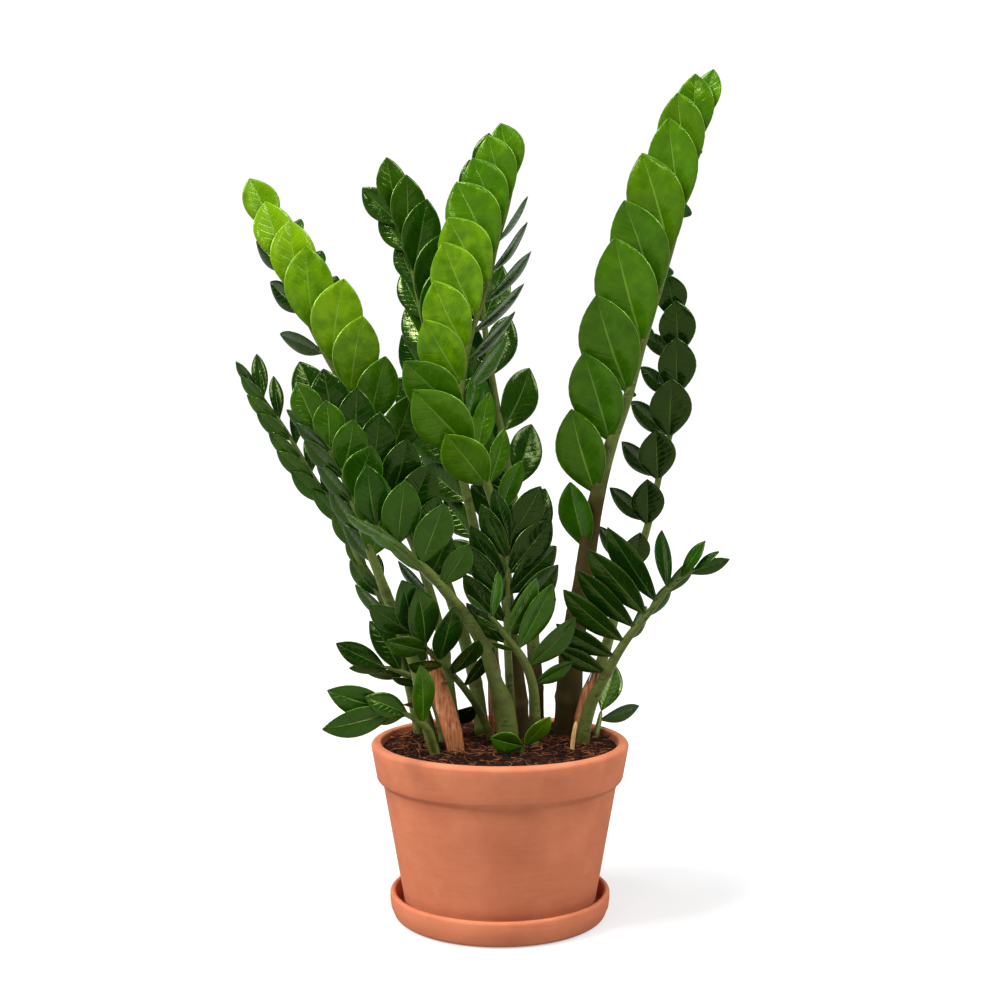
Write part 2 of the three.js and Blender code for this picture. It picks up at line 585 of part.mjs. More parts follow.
    name: 'frond_right_low_back', colour: DEEP, face: 0, seed: 131, steps: 4,
    path: [[104, 40, 178, 3.4], [108, 50, 192, 2.8], [111, 58, 203, 1.8]],
    ranks: [
      { side: 1, count: 2, from: 0.8, to: 0.985, plump: 0.5,
        long: [52, 62], spread: [54, 2], lift: [4, 0], roll: [56, 6] },
    ],
  },
  {
    name: 'sprout_front', colour: FRESH, face: 0, seed: 137, steps: 3,
    path: [[22, -58, 178, 2.2], [23, -60, 185, 1.9], [25, -62, 192, 1.5]],
    ranks: [
      { side: 1, count: 1, from: 0.97, to: 0.97, plump: 0.52,
        long: [46], spread: [22], lift: [14], roll: [10] },
      { side: -1, count: 1, from: 0.94, to: 0.94, plump: 0.8,
        long: [36], spread: [130], lift: [60], roll: [0] },
    ],
  },
];

// The dry stub of a stem that was cut, in front of the thick right stem.
const STUB = {
  name: 'stub_right', face: 0, steps: 4,
  path: [[74, -40, 180, 2.4], [75, -40, 194, 2.3], [78, -39, 210, 2]],
};

// Papery sheaths, dry and curled round the foot of a stem, from the soil up:
// [x, y, z, radius of the curl inside, half of the angle that it wraps].
// facing: the side that the curl covers, in degrees round from the front.
const SHEATHS = [
  {
    name: 'sheath_left', facing: 24, thick: 1.6,
    path: [[-46, -44, 178, 9, 62], [-51, -45, 202, 11, 64], [-60, -44, 232, 11.5, 60],
      [-69, -42, 262, 10, 48], [-76, -40, 288, 9, 20]],
  },
  {
    name: 'sheath_right', facing: 20, thick: 1.5,
    path: [[82, 27, 178, 11, 44], [86, 27, 204, 12, 52], [93, 26, 232, 12, 50],
      [100, 25, 258, 11, 24]],
  },
  {
    name: 'sheath_middle', facing: 10, thick: 1.4,
    path: [[-4, 46, 178, 8.6, 56], [-5.3, 50, 214, 8.4, 62], [-7, 53, 248, 8, 52],
      [-9, 55.6, 272, 7.8, 18]],
  },
];

const MATERIALS = {
  sheath: { color: 0xb9773f, roughness: 0.8, metalness: 0 },
  stub: { color: 0xc09a5a, roughness: 0.8, metalness: 0 },
  terracotta: { color: 0xc8744e, roughness: 0.85, metalness: 0 },
  soil: { color: 0x4a2818, roughness: 1, metalness: 0 },
};

// ---- Assembly ----
// Bends that a leaflet tries, one after another, until it clears every other piece.
const BENDS = [{ spread: 0, lift: 0, roll: 0 }];
for (const size of [7, 14, 21, 30, 40]) {
  for (const [spread, lift, roll] of [[0, 1, 0], [0, -1, 0], [1, 0, 0], [-1, 0, 0], [0, 0, 1],
    [0, 0, -1], [1, 1, 0], [-1, -1, 0], [1, -1, 0], [-1, 1, 0]]) {
    BENDS.push({ spread: spread * size, lift: lift * size, roll: roll * size });
  }
}

const plant = new THREE.Group();

function addPiece(name, geometry, look) {
  const mesh = new THREE.Mesh(geometry, new THREE.MeshStandardMaterial(look));
  mesh.name = name;
  plant.add(mesh);
}

const stems = FRONDS.map(stemOf);
const stemSolids = FRONDS.map((frond, i) => stemSolid(stems[i], frond.steps));
const stub = stemOf(STUB);
const dryPieces = [
  ...SHEATHS.map((sheath) => ({ name: sheath.name, solid: sheathSolid(sheath), look: 'sheath' })),
  { name: STUB.name, solid: stemSolid(stub, STUB.steps), look: 'stub' },
];
const soilPlug = makeSoil();
const pot = solidOf(makePot());
const taken = [...stemSolids, ...dryPieces.map((piece) => piece.solid), soilPlug, pot]
  .map((solid, i) => ({ owner: i, solid, box: solid.boundingBox() }));

const apart = (a, b) => [0, 1, 2].some((k) => a.max[k] < b.min[k] || b.max[k] < a.min[k]);

function isClear(solid, others) {
  const box = solid.boundingBox();
  return others.every((other) => apart(box, other.box)
    || solid.intersect(other.solid).isEmpty());
}

FRONDS.forEach((frond, index) => {
  const random = randomFrom(frond.seed);
  const stem = stems[index];
  const own = [];
  let solid = stemSolids[index];
  for (const rank of frond.ranks) {
    for (const leaf of leavesOf(rank, random)) {
      const others = taken.filter((other) => other.owner !== index);
      const place = BENDS.map((bend) => leafPlace(stem, rank, leaf, bend)).find((p) => (
        isClear(leafSolid(p, leaf, CLEARANCE), others)
        && isClear(leafSolid(p, leaf, OWN_CLEARANCE, 1), own)));
      if (!place) {
        throw new Error(`${frond.name} has no room for a leaflet at ${leaf.share.toFixed(3)}`);
      }
      const blade = leafSolid(place, leaf);
      solid = solid.add(blade);
      own.push({ solid: blade, box: blade.boundingBox() });
      taken.push({ owner: index, solid: blade, box: blade.boundingBox() });
    }
  }
  addPiece(frond.name, geometryOf(solid),
    { color: frond.colour, roughness: 0.35, metalness: 0 });
});

addPiece('saucer', makeSaucer(), MATERIALS.terracotta);
addPiece('pot', geometryOf(pot), MATERIALS.terracotta);

for (const { name, solid, look } of dryPieces) {
  addPiece(name, geometryOf(solid), MATERIALS[look]);
}

let soil = soilPlug;
[...stems, stub].forEach((stem, i) => {
  soil = soil.subtract(stemSolid(stem, (FRONDS[i] ?? STUB).steps, GAP));
});
for (const sheath of SHEATHS) {
  soil = soil.subtract(sheathSolid(sheath, GAP));
}
addPiece('soil', geometryOf(soil), MATERIALS.soil);

export default plant;
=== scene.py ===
"""A potted ZZ plant: glossy fronds in coir soil, in a terracotta pot on its saucer.

Named lengths and the tables are in millimetres, as a grower or a potter would take them,
and every mesh is in metres. -Y is the front. Laid out as a Blender add-on and run as a script.
"""
import math
import random

import bmesh
import bpy
from bpy.props import FloatProperty, FloatVectorProperty, IntProperty, PointerProperty
from mathutils import Matrix, Vector, noise
from mathutils.kdtree import KDTree


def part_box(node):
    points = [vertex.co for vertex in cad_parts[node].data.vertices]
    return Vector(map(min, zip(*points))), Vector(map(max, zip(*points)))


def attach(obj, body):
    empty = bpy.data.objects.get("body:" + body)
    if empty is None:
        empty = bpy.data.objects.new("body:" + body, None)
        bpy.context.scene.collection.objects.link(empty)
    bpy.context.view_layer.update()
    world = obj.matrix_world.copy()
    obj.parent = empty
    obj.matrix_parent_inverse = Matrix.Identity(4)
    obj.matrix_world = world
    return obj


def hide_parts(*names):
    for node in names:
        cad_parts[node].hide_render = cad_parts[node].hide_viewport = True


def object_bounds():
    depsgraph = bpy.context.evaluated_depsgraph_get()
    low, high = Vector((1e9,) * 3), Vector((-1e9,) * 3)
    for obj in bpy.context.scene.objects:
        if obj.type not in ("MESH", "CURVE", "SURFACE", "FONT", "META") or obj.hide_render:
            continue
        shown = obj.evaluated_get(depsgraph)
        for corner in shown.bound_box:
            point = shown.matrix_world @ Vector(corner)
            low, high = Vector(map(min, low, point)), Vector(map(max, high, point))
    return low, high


bl_info = {
    "name": "Potted ZZ Plant",
    "version": (1, 0, 0),
    "blender": (4, 5, 0),
    "location": "View3D > Sidebar > ZZ Plant",
    "description": "Models a ZZ plant in a terracotta pot with its saucer",
    "category": "Add Mesh",
}

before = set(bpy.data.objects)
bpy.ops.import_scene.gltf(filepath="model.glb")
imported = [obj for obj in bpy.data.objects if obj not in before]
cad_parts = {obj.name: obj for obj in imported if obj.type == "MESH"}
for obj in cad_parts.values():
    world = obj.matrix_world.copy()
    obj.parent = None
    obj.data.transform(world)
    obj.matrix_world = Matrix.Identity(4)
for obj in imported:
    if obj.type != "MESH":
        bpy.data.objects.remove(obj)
CAD_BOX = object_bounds()
MM = 0.001

# ---- The pot and the soil, in millimetres ----
POT_SEGMENTS = 128               # faces round the pot and the saucer
SHARP_EDGE = 40                  # degrees past which their edges stay sharp
MOUTH_RADIUS = 124.1             # the pot's inside at its rim
SOIL_EDGE = 176.5                # height of the soil at the pot's wall
SOIL_MOUND = 5                   # rise of the soil towards the middle
SOIL_ROUGH = 1.6                 # height of its waves
SOIL_RADIUS = 123.0
SOIL_RINGS = 60
SOIL_SEGMENTS = 160
SOIL_SUNK = 0.4                  # how far the bed lies below the solid's height
SOIL_FLOOR = 20.1                # just over the pot's floor
SOIL_COVE = ((86, SOIL_FLOOR), (90.3, 24.5))
PLUG_RADIUS = 10.6               # the soil in the drain hole
CLODS = ((1.8, 9), (1.3, 3.6), (0.7, 1.7))  # heights and sizes
COIR_LUMP = {"at": (-90, -34), "radius": 12, "rise": 14}
LUMP_SHARE = 0.14                # share of the strands and crumbs that lie on the lump
LUMP_SCATTER = 8                 # how far they spread round its middle
STEM_DEPTH = 26                  # how deep a stem stands in the soil
SHEATH_DEPTH = 14                # and how deep a sheath does

# ---- Stems and leaflets, as the frame's solids have them ----
SHARE_STEPS = 400                # steps that the shares of a stem's points are measured in
CURVE_STEPS = 200                # steps that a place on its curve is found in
OUTLINE_LEAN = 1.12              # above 1, a leaflet is widest past its middle
OUTLINE_FULL = 0.74              # below 1, its outline is fuller than a sine
LEAF_FOLD = 0.16                 # rise of the rim over the midrib, to the half width
LEAF_CURL = 0.08                 # drop of the tip, to the length
ROOT_OUT = 0.4                   # where a leaflet starts, in radii from the stem's middle
SIZE_WOBBLE = 0.05               # how far leaflets vary in size and curl
TURN_WOBBLE = 4                  # and in degrees of spread and lift
ROLL_WOBBLE = 6
# Shares of a leaflet's length where the solid has edge points. A small one has fewer.
LEAF_STATIONS = (0.12, 0.36, 0.64, 0.86)
SMALL_STATIONS = (0.16, 0.5, 0.82)
SMALL_LEAF = 84
NEAR = 0.15                      # a point this close to a corner of the solid is that corner
FEWEST_FOUND = 4
# Turns in degrees of spread, lift and roll that a leaflet may take to clear its neighbours.
BENDS = [(0, 0, 0)] + [
    (spread * size, lift * size, roll * size) for size in (7, 14, 21, 30, 40)
    for spread, lift, roll in ((0, 1, 0), (0, -1, 0), (1, 0, 0), (-1, 0, 0), (0, 0, 1),
                               (0, 0, -1), (1, 1, 0), (-1, -1, 0), (1, -1, 0), (-1, 1, 0))]

# ---- Leaflets and stems, finer than the solids ----
LEAF_ACROSS = 4                  # faces across a leaflet and along it
LEAF_ALONG = 8
STALK_HALF = 1.3                 # least half width at the stalk and at the tip
TIP_HALF = 0.25
STALK_SHARE = 0.16               # share of the length where the stalk thins to the blade
TIP_START = 0.84                 # share of the length where the tip starts to narrow
TIP_NARROWING = 0.16             # and how much narrower it gets
RIM_THINNING = 0.45              # how much thinner a blade is at its rim
RIM_RIPPLE = 9.4                 # one and a half waves along each rim, in radians
DRY_CRINKLE = 4.0                # how much higher the waves of a dry leaflet are
RING_SPACING = 6                 # between the rings of a stem
STEM_LUMPS = 0.05                # unevenness of a stem, to its radius
LUMPS_PER_MM = 0.06
SCAR_HEIGHT = 2.2                # half of the height of a leaf scar
SCAR_SWELL = 0.1                 # how far it stands out, to the stem's radius
SCAR_BROWN = 0.7
SHEATH_THINNING = 0.36           # half of the paper's thickness, to the solid's thickness

# ---- The stage ----
FLOOR_DROP = 0.4                 # how far the floor lies under the saucer
LENS = 50
SENSOR = 36
CAMERA_DISTANCE = 1453           # in front of the pot's axis
CAMERA_HEIGHT = 487.9
CAMERA_DIP = 2.07                # degrees that it looks down
# Each lamp: degrees to the right of the front, degrees up, strength, and width in degrees.
LAMPS = (("key_softbox", -68, 42, 3.5, 26), ("right_softbox", 76, 38, 1.75, 30),
         ("top_softbox", -10, 76, 1.0, 44), ("left_strip", -30, 22, 0.3, 7),
         ("high_left_strip", -52, 44, 0.6, 7), ("right_strip", 34, 26, 0.25, 7),
         ("high_right_strip", 60, 46, 0.5, 7), ("top_left_strip", -90, 64, 0.8, 12),
         ("top_right_strip", 80, 62, 0.7, 12))

# ---- The fronds ----
# path: [x, y, z, radius] from the soil to the tip. A rank of leaflets grows on the right
# (side 1) or the left (side -1), between two shares of the stem's length. Above 1, crowd
# sets its leaflets closer towards the tip. plump: width to length. The lists run evenly from
# the first leaflet to the last: long, and in degrees spread away from the stem, lift to the
# front and roll about the midrib. tone: 0 for old dark leaves, 1 for fresh bright ones. A low
# tone is partly painted shade: ranks that turn down or away, leaflets low on a frond and
# fronds at the back are given a darker tone for the shade that falls on them.
# foot: how brown the stem's foot is, and the height at which it is green. rings: where old
# leaf scars circle the stem.
FRONDS = [
    {
        "name": "frond_right_tall", "seed": 11, "slot": "leaf_bright",
        "foot": (1.0, 560), "rings": (0.1, 0.16, 0.23, 0.3),
        "path": [[72, 34, 180, 14.5], [74, 36, 218, 14.5], [79, 38, 283, 13], [88, 38, 337, 11],
                 [102, 37, 428, 9], [119, 36, 495, 7], [135, 35, 539, 5.5], [152, 33, 600, 4.3],
                 [171, 31, 663, 3.4], [188, 30, 723, 2.8], [202, 30, 780, 2.3],
                 [211, 32, 822, 1.8], [218, 33, 846, 1.4]],
        "ranks": [
            {"side": -1, "count": 11, "from": 0.32, "to": 0.985, "crowd": 1.3, "plump": 0.62,
             "long": [80, 102, 112, 118, 106, 92, 74, 52], "spread": [26, 34, 36, 38, 32, 28, 22, 6],
             "lift": [16, 10], "roll": [34, 18, 18, 18, 20], "tone": [0.56, 0.7, 0.78, 0.86]},
            {"side": -1, "count": 7, "from": 0.52, "to": 0.93, "plump": 0.55,
             "long": [62, 80, 60], "spread": [44, 36], "lift": [-34, -26], "roll": [-24, -20],
             "tone": [0.35, 0.45]},
            {"side": 1, "count": 5, "from": 0.56, "to": 0.93, "plump": 0.52,
             "long": [44, 54, 44], "spread": [4, 2], "lift": [-66, -52], "roll": [20, 10],
             "tone": [0.3, 0.4]},
        ],
    },
    {
        "name": "frond_right_back", "seed": 23, "slot": "leaf_deep",
        "foot": (0.5, 300), "rings": (0.12, 0.24),
        "path": [[88, 50, 178, 7], [101, 60, 224, 6.5], [119, 70, 278, 6], [135, 78, 334, 5.2],
                 [156, 84, 379, 4.6], [169, 90, 422, 4], [180, 96, 470, 3.5], [194, 104, 520, 3],
                 [201, 110, 577, 2.4], [200, 114, 620, 1.8], [197, 116, 642, 1.3]],
        "ranks": [
            {"side": -1, "count": 7, "from": 0.42, "to": 0.985, "crowd": 1.1, "plump": 0.74,
             "long": [50, 56, 62, 66, 66, 58, 52], "spread": [18, 20, 14, 4],
             "lift": [34, 26], "roll": [0], "tone": [0.1, 0.14]},
            {"side": -1, "count": 6, "from": 0.43, "to": 0.9, "crowd": 1.1, "plump": 0.5,
             "long": [58, 62, 52], "spread": [64, 56], "lift": [-18, -18], "roll": [50, 40],
             "tone": [0.04, 0.08]},
        ],
    },
    {
        "name": "frond_centre_tall", "seed": 37, "slot": "leaf_bright",
        "foot": (0.85, 330), "rings": (0.11, 0.2, 0.28),
        "path": [[23, 14, 178, 9], [21, 12, 223, 8.5], [14, 8, 276, 7.6], [8, 4, 330, 6.8],
                 [3, 0, 393, 5.8], [-6, -2, 430, 5.2], [-21, -4, 471, 4.6], [-37, -6, 515, 4],
                 [-39, -8, 552, 3.6], [-30, -8, 607, 3.2], [-14, -6, 653, 2.8],
                 [-4, -4, 698, 2.4], [7, 0, 736, 2], [13, 3, 762, 1.6], [16, 4, 778, 1.3]],
        "ranks": [
            {"side": -1, "count": 11, "from": 0.47, "to": 0.985, "crowd": 1.15, "plump": 0.72,
             "long": [76, 92, 78, 78, 82, 82, 84, 76, 60], "spread": [14, 32, 38, 44, 44, 42, 28],
             "lift": [16, 10], "roll": [16, 20], "tone": [0.82, 0.9, 0.86, 0.84]},
            {"side": 1, "count": 10, "from": 0.42, "to": 0.88, "plump": 0.42,
             "long": [60, 72, 80, 78, 66], "spread": [44, 34, 34, 30, 22], "lift": [-6, -16],
             "roll": [20, 30, 62, 70, 72], "tone": [0.5, 0.62, 0.4, 0.35, 0.45]},
        ],
    },
    {
        "name": "frond_centre_left", "seed": 41, "slot": "leaf_deep",
        "foot": (0.4, 260), "rings": (0.12, 0.22, 0.33),
        "path": [[-4, 46, 178, 7.5], [-6, 52, 237, 7], [-14, 60, 324, 6.2], [-30, 66, 411, 5.4],
                 [-52, 72, 499, 4.6], [-71, 76, 575, 3.8], [-86, 78, 638, 3.1],
                 [-98, 79, 694, 2.4], [-108, 79, 732, 1.8], [-114, 78, 752, 1.3]],
        "ranks": [
            {"side": 1, "count": 9, "from": 0.5, "to": 0.985, "crowd": 1.1, "plump": 0.6,
             "long": [74, 84, 86, 78, 66], "spread": [34, 34, 28, 8], "lift": [14, 6],
             "roll": [18, 20], "tone": [0.46, 0.4, 0.46]},
            {"side": -1, "count": 11, "from": 0.32, "to": 0.97, "crowd": 1.1, "plump": 0.54,
             "long": [56, 80, 92, 66, 54, 60], "spread": [26, 34, 32, 18, 14, 30], "lift": [-20, -10],
             "roll": [20, 16], "tone": [0.3, 0.34, 0.3]},
        ],
    },
    {
        "name": "frond_back_tall", "seed": 53, "slot": "leaf_deep",
        "foot": (0.7, 300), "rings": (0.12, 0.21, 0.31),
        "path": [[40, 48, 178, 8.5], [39, 60, 236, 8], [34, 76, 300, 7.2], [23, 94, 387, 6.2],
                 [7, 108, 476, 5.2], [-9, 118, 567, 4.2], [-20, 124, 651, 3.2],
                 [-25, 128, 724, 2.4], [-22, 130, 774, 1.8], [-18, 130, 796, 1.3]],
        "ranks": [
            {"side": -1, "count": 11, "from": 0.31, "to": 0.985, "crowd": 1.15, "plump": 0.58,
             "long": [68, 82, 86, 76, 56], "spread": [44, 40, 30, 6], "lift": [-6, 4],
             "roll": [24, 20], "tone": [0.3, 0.42]},
            {"side": 1, "count": 7, "from": 0.36, "to": 0.95, "plump": 0.56,
             "long": [76, 86, 72, 54], "spread": [34, 32, 26, 14], "lift": [-16, -6],
             "roll": [24, 20], "tone": [0.3, 0.4]},
        ],
    },
    {
        "name": "frond_left_bright", "seed": 67, "slot": "leaf_bright",
        "foot": (0.3, 250), "rings": (0.14, 0.26, 0.38, 0.47),
        "path": [[-19, 32, 178, 8], [-27, 30, 241, 7.4], [-48, 28, 317, 6.6], [-76, 26, 392, 5.8],
                 [-110, 24, 466, 5], [-142, 22, 519, 4.2], [-169, 22, 562, 3.6],
                 [-199, 24, 616, 3], [-222, 28, 673, 2.4], [-240, 32, 713, 1.8],
                 [-250, 34, 733, 1.3]],
        "ranks": [
            {"side": 1, "count": 8, "from": 0.55, "to": 0.975, "plump": 0.68,
             "long": [72, 80, 90, 76, 62], "spread": [52, 46, 34, 12, 4],
             "lift": [14, 10], "roll": [20, 20], "tone": [0.6, 0.86, 0.95, 1.0, 0.96]},
            {"side": 1, "count": 6, "from": 0.62, "to": 0.93, "plump": 0.55,
             "long": [66, 72, 58], "spread": [50, 40], "lift": [-34, -26], "roll": [-20, -20],
             "tone": [0.3, 0.4]},
            {"side": -1, "count": 6, "from": 0.53, "to": 0.9, "plump": 0.5,
             "long": [64, 60, 56], "spread": [56, 44, 26], "lift": [-16, -14], "roll": [46, 40],
             "tone": [0.16, 0.1]},
        ],
    },
    {
        "name": "frond_left_dark", "seed": 71, "slot": "leaf_deep",
        "foot": (0.2, 240), "rings": (0.15, 0.3),
        "path": [[-46, -14, 178, 6.2], [-52, -16, 236, 5.8], [-62, -20, 300, 5.2],
                 [-78, -26, 360, 4.6], [-96, -32, 406, 4], [-120, -38, 446, 3.4],
                 [-148, -42, 482, 2.8], [-172, -44, 508, 2.2], [-186, -44, 522, 1.4]],
        "ranks": [
            {"side": 1, "count": 8, "from": 0.5, "to": 0.985, "crowd": 1.1, "plump": 0.66,
             "long": [58, 66, 70, 68, 64], "spread": [42, 50, 44, 30], "lift": [10, 6],
             "roll": [16, 18], "tone": [0.24, 0.2, 0.16]},
            {"side": -1, "count": 7, "from": 0.46, "to": 0.93, "plump": 0.46,
             "long": [50, 56, 46], "spread": [34, 24], "lift": [-18, -8], "roll": [44, 40],
             "tone": [0.12, 0.1]},
        ],
    },
    {
        "name": "frond_front_left", "seed": 79, "slot": "leaf_green",
        "foot": (0.12, 210), "rings": (0.14, 0.26, 0.37, 0.5, 0.6),
        "path": [[9, -32, 178, 10], [7, -34, 205, 11.4], [2, -38, 230, 10.6], [-5, -44, 253, 7.6],
                 [-14, -52, 283, 6.6], [-30, -62, 314, 6.2], [-47, -72, 338, 5.6],
                 [-65, -82, 361, 5], [-97, -98, 392, 4], [-124, -108, 416, 2.6]],
        "ranks": [
            {"side": 1, "count": 4, "from": 0.7, "to": 0.985, "crowd": 1.05, "plump": 0.64,
             "long": [52, 66, 64, 62], "spread": [68, 62, 56, 38], "lift": [10, 4],
             "roll": [10, 14], "tone": [0.46, 0.38, 0.36]},
            {"side": -1, "count": 4, "from": 0.66, "to": 0.92, "plump": 0.46,
             "long": [44, 60, 54], "spread": [12, 8], "lift": [-14, 6], "roll": [60, 50],
             "tone": [0.7, 0.6]},
        ],
    },
    {
        "name": "frond_left_pale", "seed": 83, "slot": "leaf_green",
        "foot": (0.2, 220), "rings": (0.15, 0.27, 0.4, 0.52),
        "path": [[-68, -38, 178, 7], [-79, -40, 226, 6.6], [-85, -44, 262, 6.2],
                 [-98, -50, 299, 5.8], [-110, -56, 331, 5.4], [-121, -62, 361, 5],
                 [-137, -70, 408, 4.2], [-146, -74, 437, 3.6], [-158, -78, 468, 3],
                 [-173, -80, 496, 2.2], [-186, -80, 514, 1.4]],
        "ranks": [
            {"side": 1, "count": 6, "from": 0.62, "to": 0.985, "crowd": 1.1, "plump": 0.74,
             "long": [50, 56, 54, 48, 46], "spread": [30, 42, 40, 30, 14], "lift": [8, 6],
             "roll": [14, 14], "tone": [0.54, 0.5, 0.5]},
            {"side": -1, "count": 6, "from": 0.6, "to": 0.97, "crowd": 1.1, "plump": 0.44,
             "long": [50, 58, 52, 42], "spread": [24, 26, 14], "lift": [-4, 4],
             "roll": [40, 36], "tone": [0.24, 0.3]},
        ],
    },
    {
        "name": "frond_far_left", "seed": 97, "slot": "leaf_green",
        "foot": (0.2, 220), "rings": (0.16, 0.3),
        "path": [[-84, 2, 178, 5.4], [-95, 2, 236, 5], [-108, 0, 289, 4.6], [-128, -6, 342, 4.2],
                 [-147, -10, 375, 3.8], [-162, -14, 411, 3.4], [-178, -16, 436, 3],
                 [-195, -18, 463, 2.6], [-209, -20, 488, 2.3], [-225, -22, 515, 2],
                 [-242, -24, 539, 1.6], [-252, -26, 556, 1.3]],
        "ranks": [
            {"side": -1, "count": 12, "from": 0.355, "to": 0.985, "crowd": 1.15, "plump": 0.44,
             "long": [58, 44, 52, 54, 48, 40, 34], "spread": [26, 0, 16, 26, 24, 6],
             "lift": [4, 6], "roll": [40, 24, 34], "tone": [0.34, 0.4, 0.3]},
            {"side": 1, "count": 8, "from": 0.44, "to": 0.96, "crowd": 1.1, "plump": 0.42,
             "long": [36, 38, 40, 44, 46], "spread": [30, 30, 30, 26], "lift": [-14, -10],
             "roll": [44, 36], "tone": [0.14, 0.2]},
        ],
    },
    {
        "name": "frond_front_small", "seed": 101, "slot": "leaf_green",
        "foot": (0.12, 210), "rings": (0.16, 0.3),
        "path": [[34, -24, 178, 6.4], [36, -28, 213, 5.8], [34, -36, 244, 5.2],
                 [25, -48, 272, 4.6], [11, -58, 294, 4], [-3, -66, 313, 3], [-13, -71, 326, 1.8]],
        "ranks": [
            {"side": 1, "count": 5, "from": 0.5, "to": 0.96, "plump": 0.5,
             "long": [48, 68, 72, 62, 48], "spread": [80, 70, 66, 72, 50], "lift": [-10, 8],
             "roll": [10, 10, 20, 50], "tone": [0.42, 0.5, 0.62]},
            {"side": -1, "count": 3, "from": 0.72, "to": 0.985, "plump": 0.4,
             "long": [30, 34, 30], "spread": [30, 20, 8], "lift": [10, 10], "roll": [50],
             "tone": [0.5]},
        ],
    },
    {
        "name": "frond_left_thin", "seed": 103, "slot": "leaf_deep",
        "foot": (0.1, 210), "rings": (0.2, 0.36),
        "path": [[-8, 4, 178, 4.4], [-21, -2, 212, 4], [-33, -20, 235, 3.7], [-52, -50, 264, 3.3],
                 [-70, -68, 285, 2.9], [-82, -76, 299, 2.4], [-90, -82, 310, 1.6]],
        "ranks": [
            {"side": 1, "count": 5, "from": 0.52, "to": 0.985, "crowd": 1.05, "plump": 0.56,
             "long": [54, 64, 70, 66], "spread": [70, 56, 42, 26], "lift": [10, 14],
             "roll": [10, 24], "tone": [0.22, 0.28]},
            {"side": -1, "count": 4, "from": 0.6, "to": 0.97, "plump": 0.5,
             "long": [40, 46, 54, 60], "spread": [40, 32, 12], "lift": [16, 10],
             "roll": [20, 10], "tone": [0.24, 0.3]},
            {"side": -1, "count": 1, "from": 0.36, "to": 0.36, "plump": 0.6,
             "long": [62], "spread": [128], "lift": [4], "roll": [0], "tone": [0.3]},
        ],
    },
    {
        "name": "frond_left_reach", "seed": 107, "slot": "leaf_deep",
        "foot": (0.2, 210), "rings": (0.3,),
        "path": [[-60, 4, 178, 4.6], [-66, 4, 212, 4.2], [-76, 0, 234, 3.8], [-92, -6, 250, 3.3],
                 [-110, -12, 259, 2.7], [-122, -16, 263, 1.6]],
        "ranks": [
            {"side": 1, "count": 4, "from": 0.6, "to": 0.985, "plump": 0.46,
             "long": [54, 60, 60, 60], "spread": [60, 50, 36, 10], "lift": [-8, 4],
             "roll": [20, 10], "tone": [0.2, 0.26]},
            {"side": -1, "count": 3, "from": 0.66, "to": 0.95, "plump": 0.4,
             "long": [34, 42, 40], "spread": [40, 30, 22], "lift": [-10, 0], "roll": [30, 20],
             "tone": [0.2]},
            {"side": -1, "count": 1, "from": 0.5, "to": 0.5, "plump": 0.3,
             "long": [36], "spread": [64], "lift": [8], "roll": [30], "tone": [0.2],
             "dry": True},
        ],
    },
    {
        "name": "frond_left_low", "seed": 109, "slot": "leaf_green",
        "foot": (0.1, 195), "rings": (0.4,),
        "path": [[-65, -60, 178, 5.6], [-68, -66, 192, 4.8], [-72, -77, 209, 4],
                 [-84, -88, 222, 3.2], [-97, -96, 230, 2.4], [-106, -100, 234, 1.6]],
        "ranks": [
            {"side": 1, "count": 3, "from": 0.66, "to": 0.985, "plump": 0.44,
             "long": [72, 56, 70], "spread": [42, 4, -4], "lift": [4, 6], "roll": [20, 6],
             "tone": [0.5, 0.36, 0.34]},
            {"side": -1, "count": 2, "from": 0.86, "to": 0.96, "plump": 0.42,
             "long": [28, 80], "spread": [44, 32], "lift": [-4, 10], "roll": [10, 4],
             "tone": [0.34]},
        ],
    },
    {
        "name": "frond_right_low", "seed": 113, "slot": "leaf_deep",
        "foot": (0.1, 200), "rings": (0.14, 0.3, 0.42),
        "path": [[86, 0, 178, 7.4], [95, -6, 221, 6.6], [107, -14, 248, 5.8],
                 [120, -24, 275, 5], [132, -34, 296, 4.4], [146, -46, 316, 3.8],
                 [158, -56, 333, 3.2], [169, -64, 349, 2.6], [184, -70, 362, 2],
                 [196, -74, 370, 1.4]],
        "ranks": [
            {"side": -1, "count": 9, "from": 0.42, "to": 0.985, "crowd": 1.1, "plump": 0.42,
             "long": [60, 78, 90, 98, 52, 32], "spread": [86, 84, 78, 68, 34, 8],
             "lift": [10, 6], "roll": [12, 20, 50], "tone": [0.2, 0.22, 0.3]},
            {"side": 1, "count": 4, "from": 0.58, "to": 0.96, "plump": 0.42,
             "long": [52, 54, 44], "spread": [16, 20, 14], "lift": [-60, -40, -8],
             "roll": [20], "tone": [0.26]},
        ],
    },
    {
        "name": "frond_centre_small", "seed": 127, "slot": "leaf_deep",
        "foot": (0.2, 210), "rings": (0.2, 0.4),
        "path": [[14, -6, 178, 5], [11, -10, 227, 4.6], [8, -16, 281, 4.2], [7, -22, 333, 3.6],
                 [8, -26, 374, 3], [11, -28, 402, 1.8]],
        "ranks": [
            {"side": 1, "count": 6, "from": 0.58, "to": 0.985, "crowd": 1.05, "plump": 0.56,
             "long": [66, 72, 70, 60], "spread": [58, 50, 40, 26], "lift": [-10, 6],
             "roll": [30, 10], "tone": [0.16, 0.06, 0.04]},
            {"side": -1, "count": 6, "from": 0.54, "to": 0.97, "crowd": 1.05, "plump": 0.46,
             "long": [60, 68, 66, 54], "spread": [42, 36, 28], "lift": [4, 10],
             "roll": [24, 30], "tone": [0.18, 0.1]},
        ],
    },
    {
        "name": "frond_right_low_back", "seed": 131, "slot": "leaf_deep",
        "foot": (0.3, 190), "rings": (),
        "path": [[104, 40, 178, 3.4], [108, 50, 192, 2.8], [111, 58, 203, 1.8]],
        "ranks": [
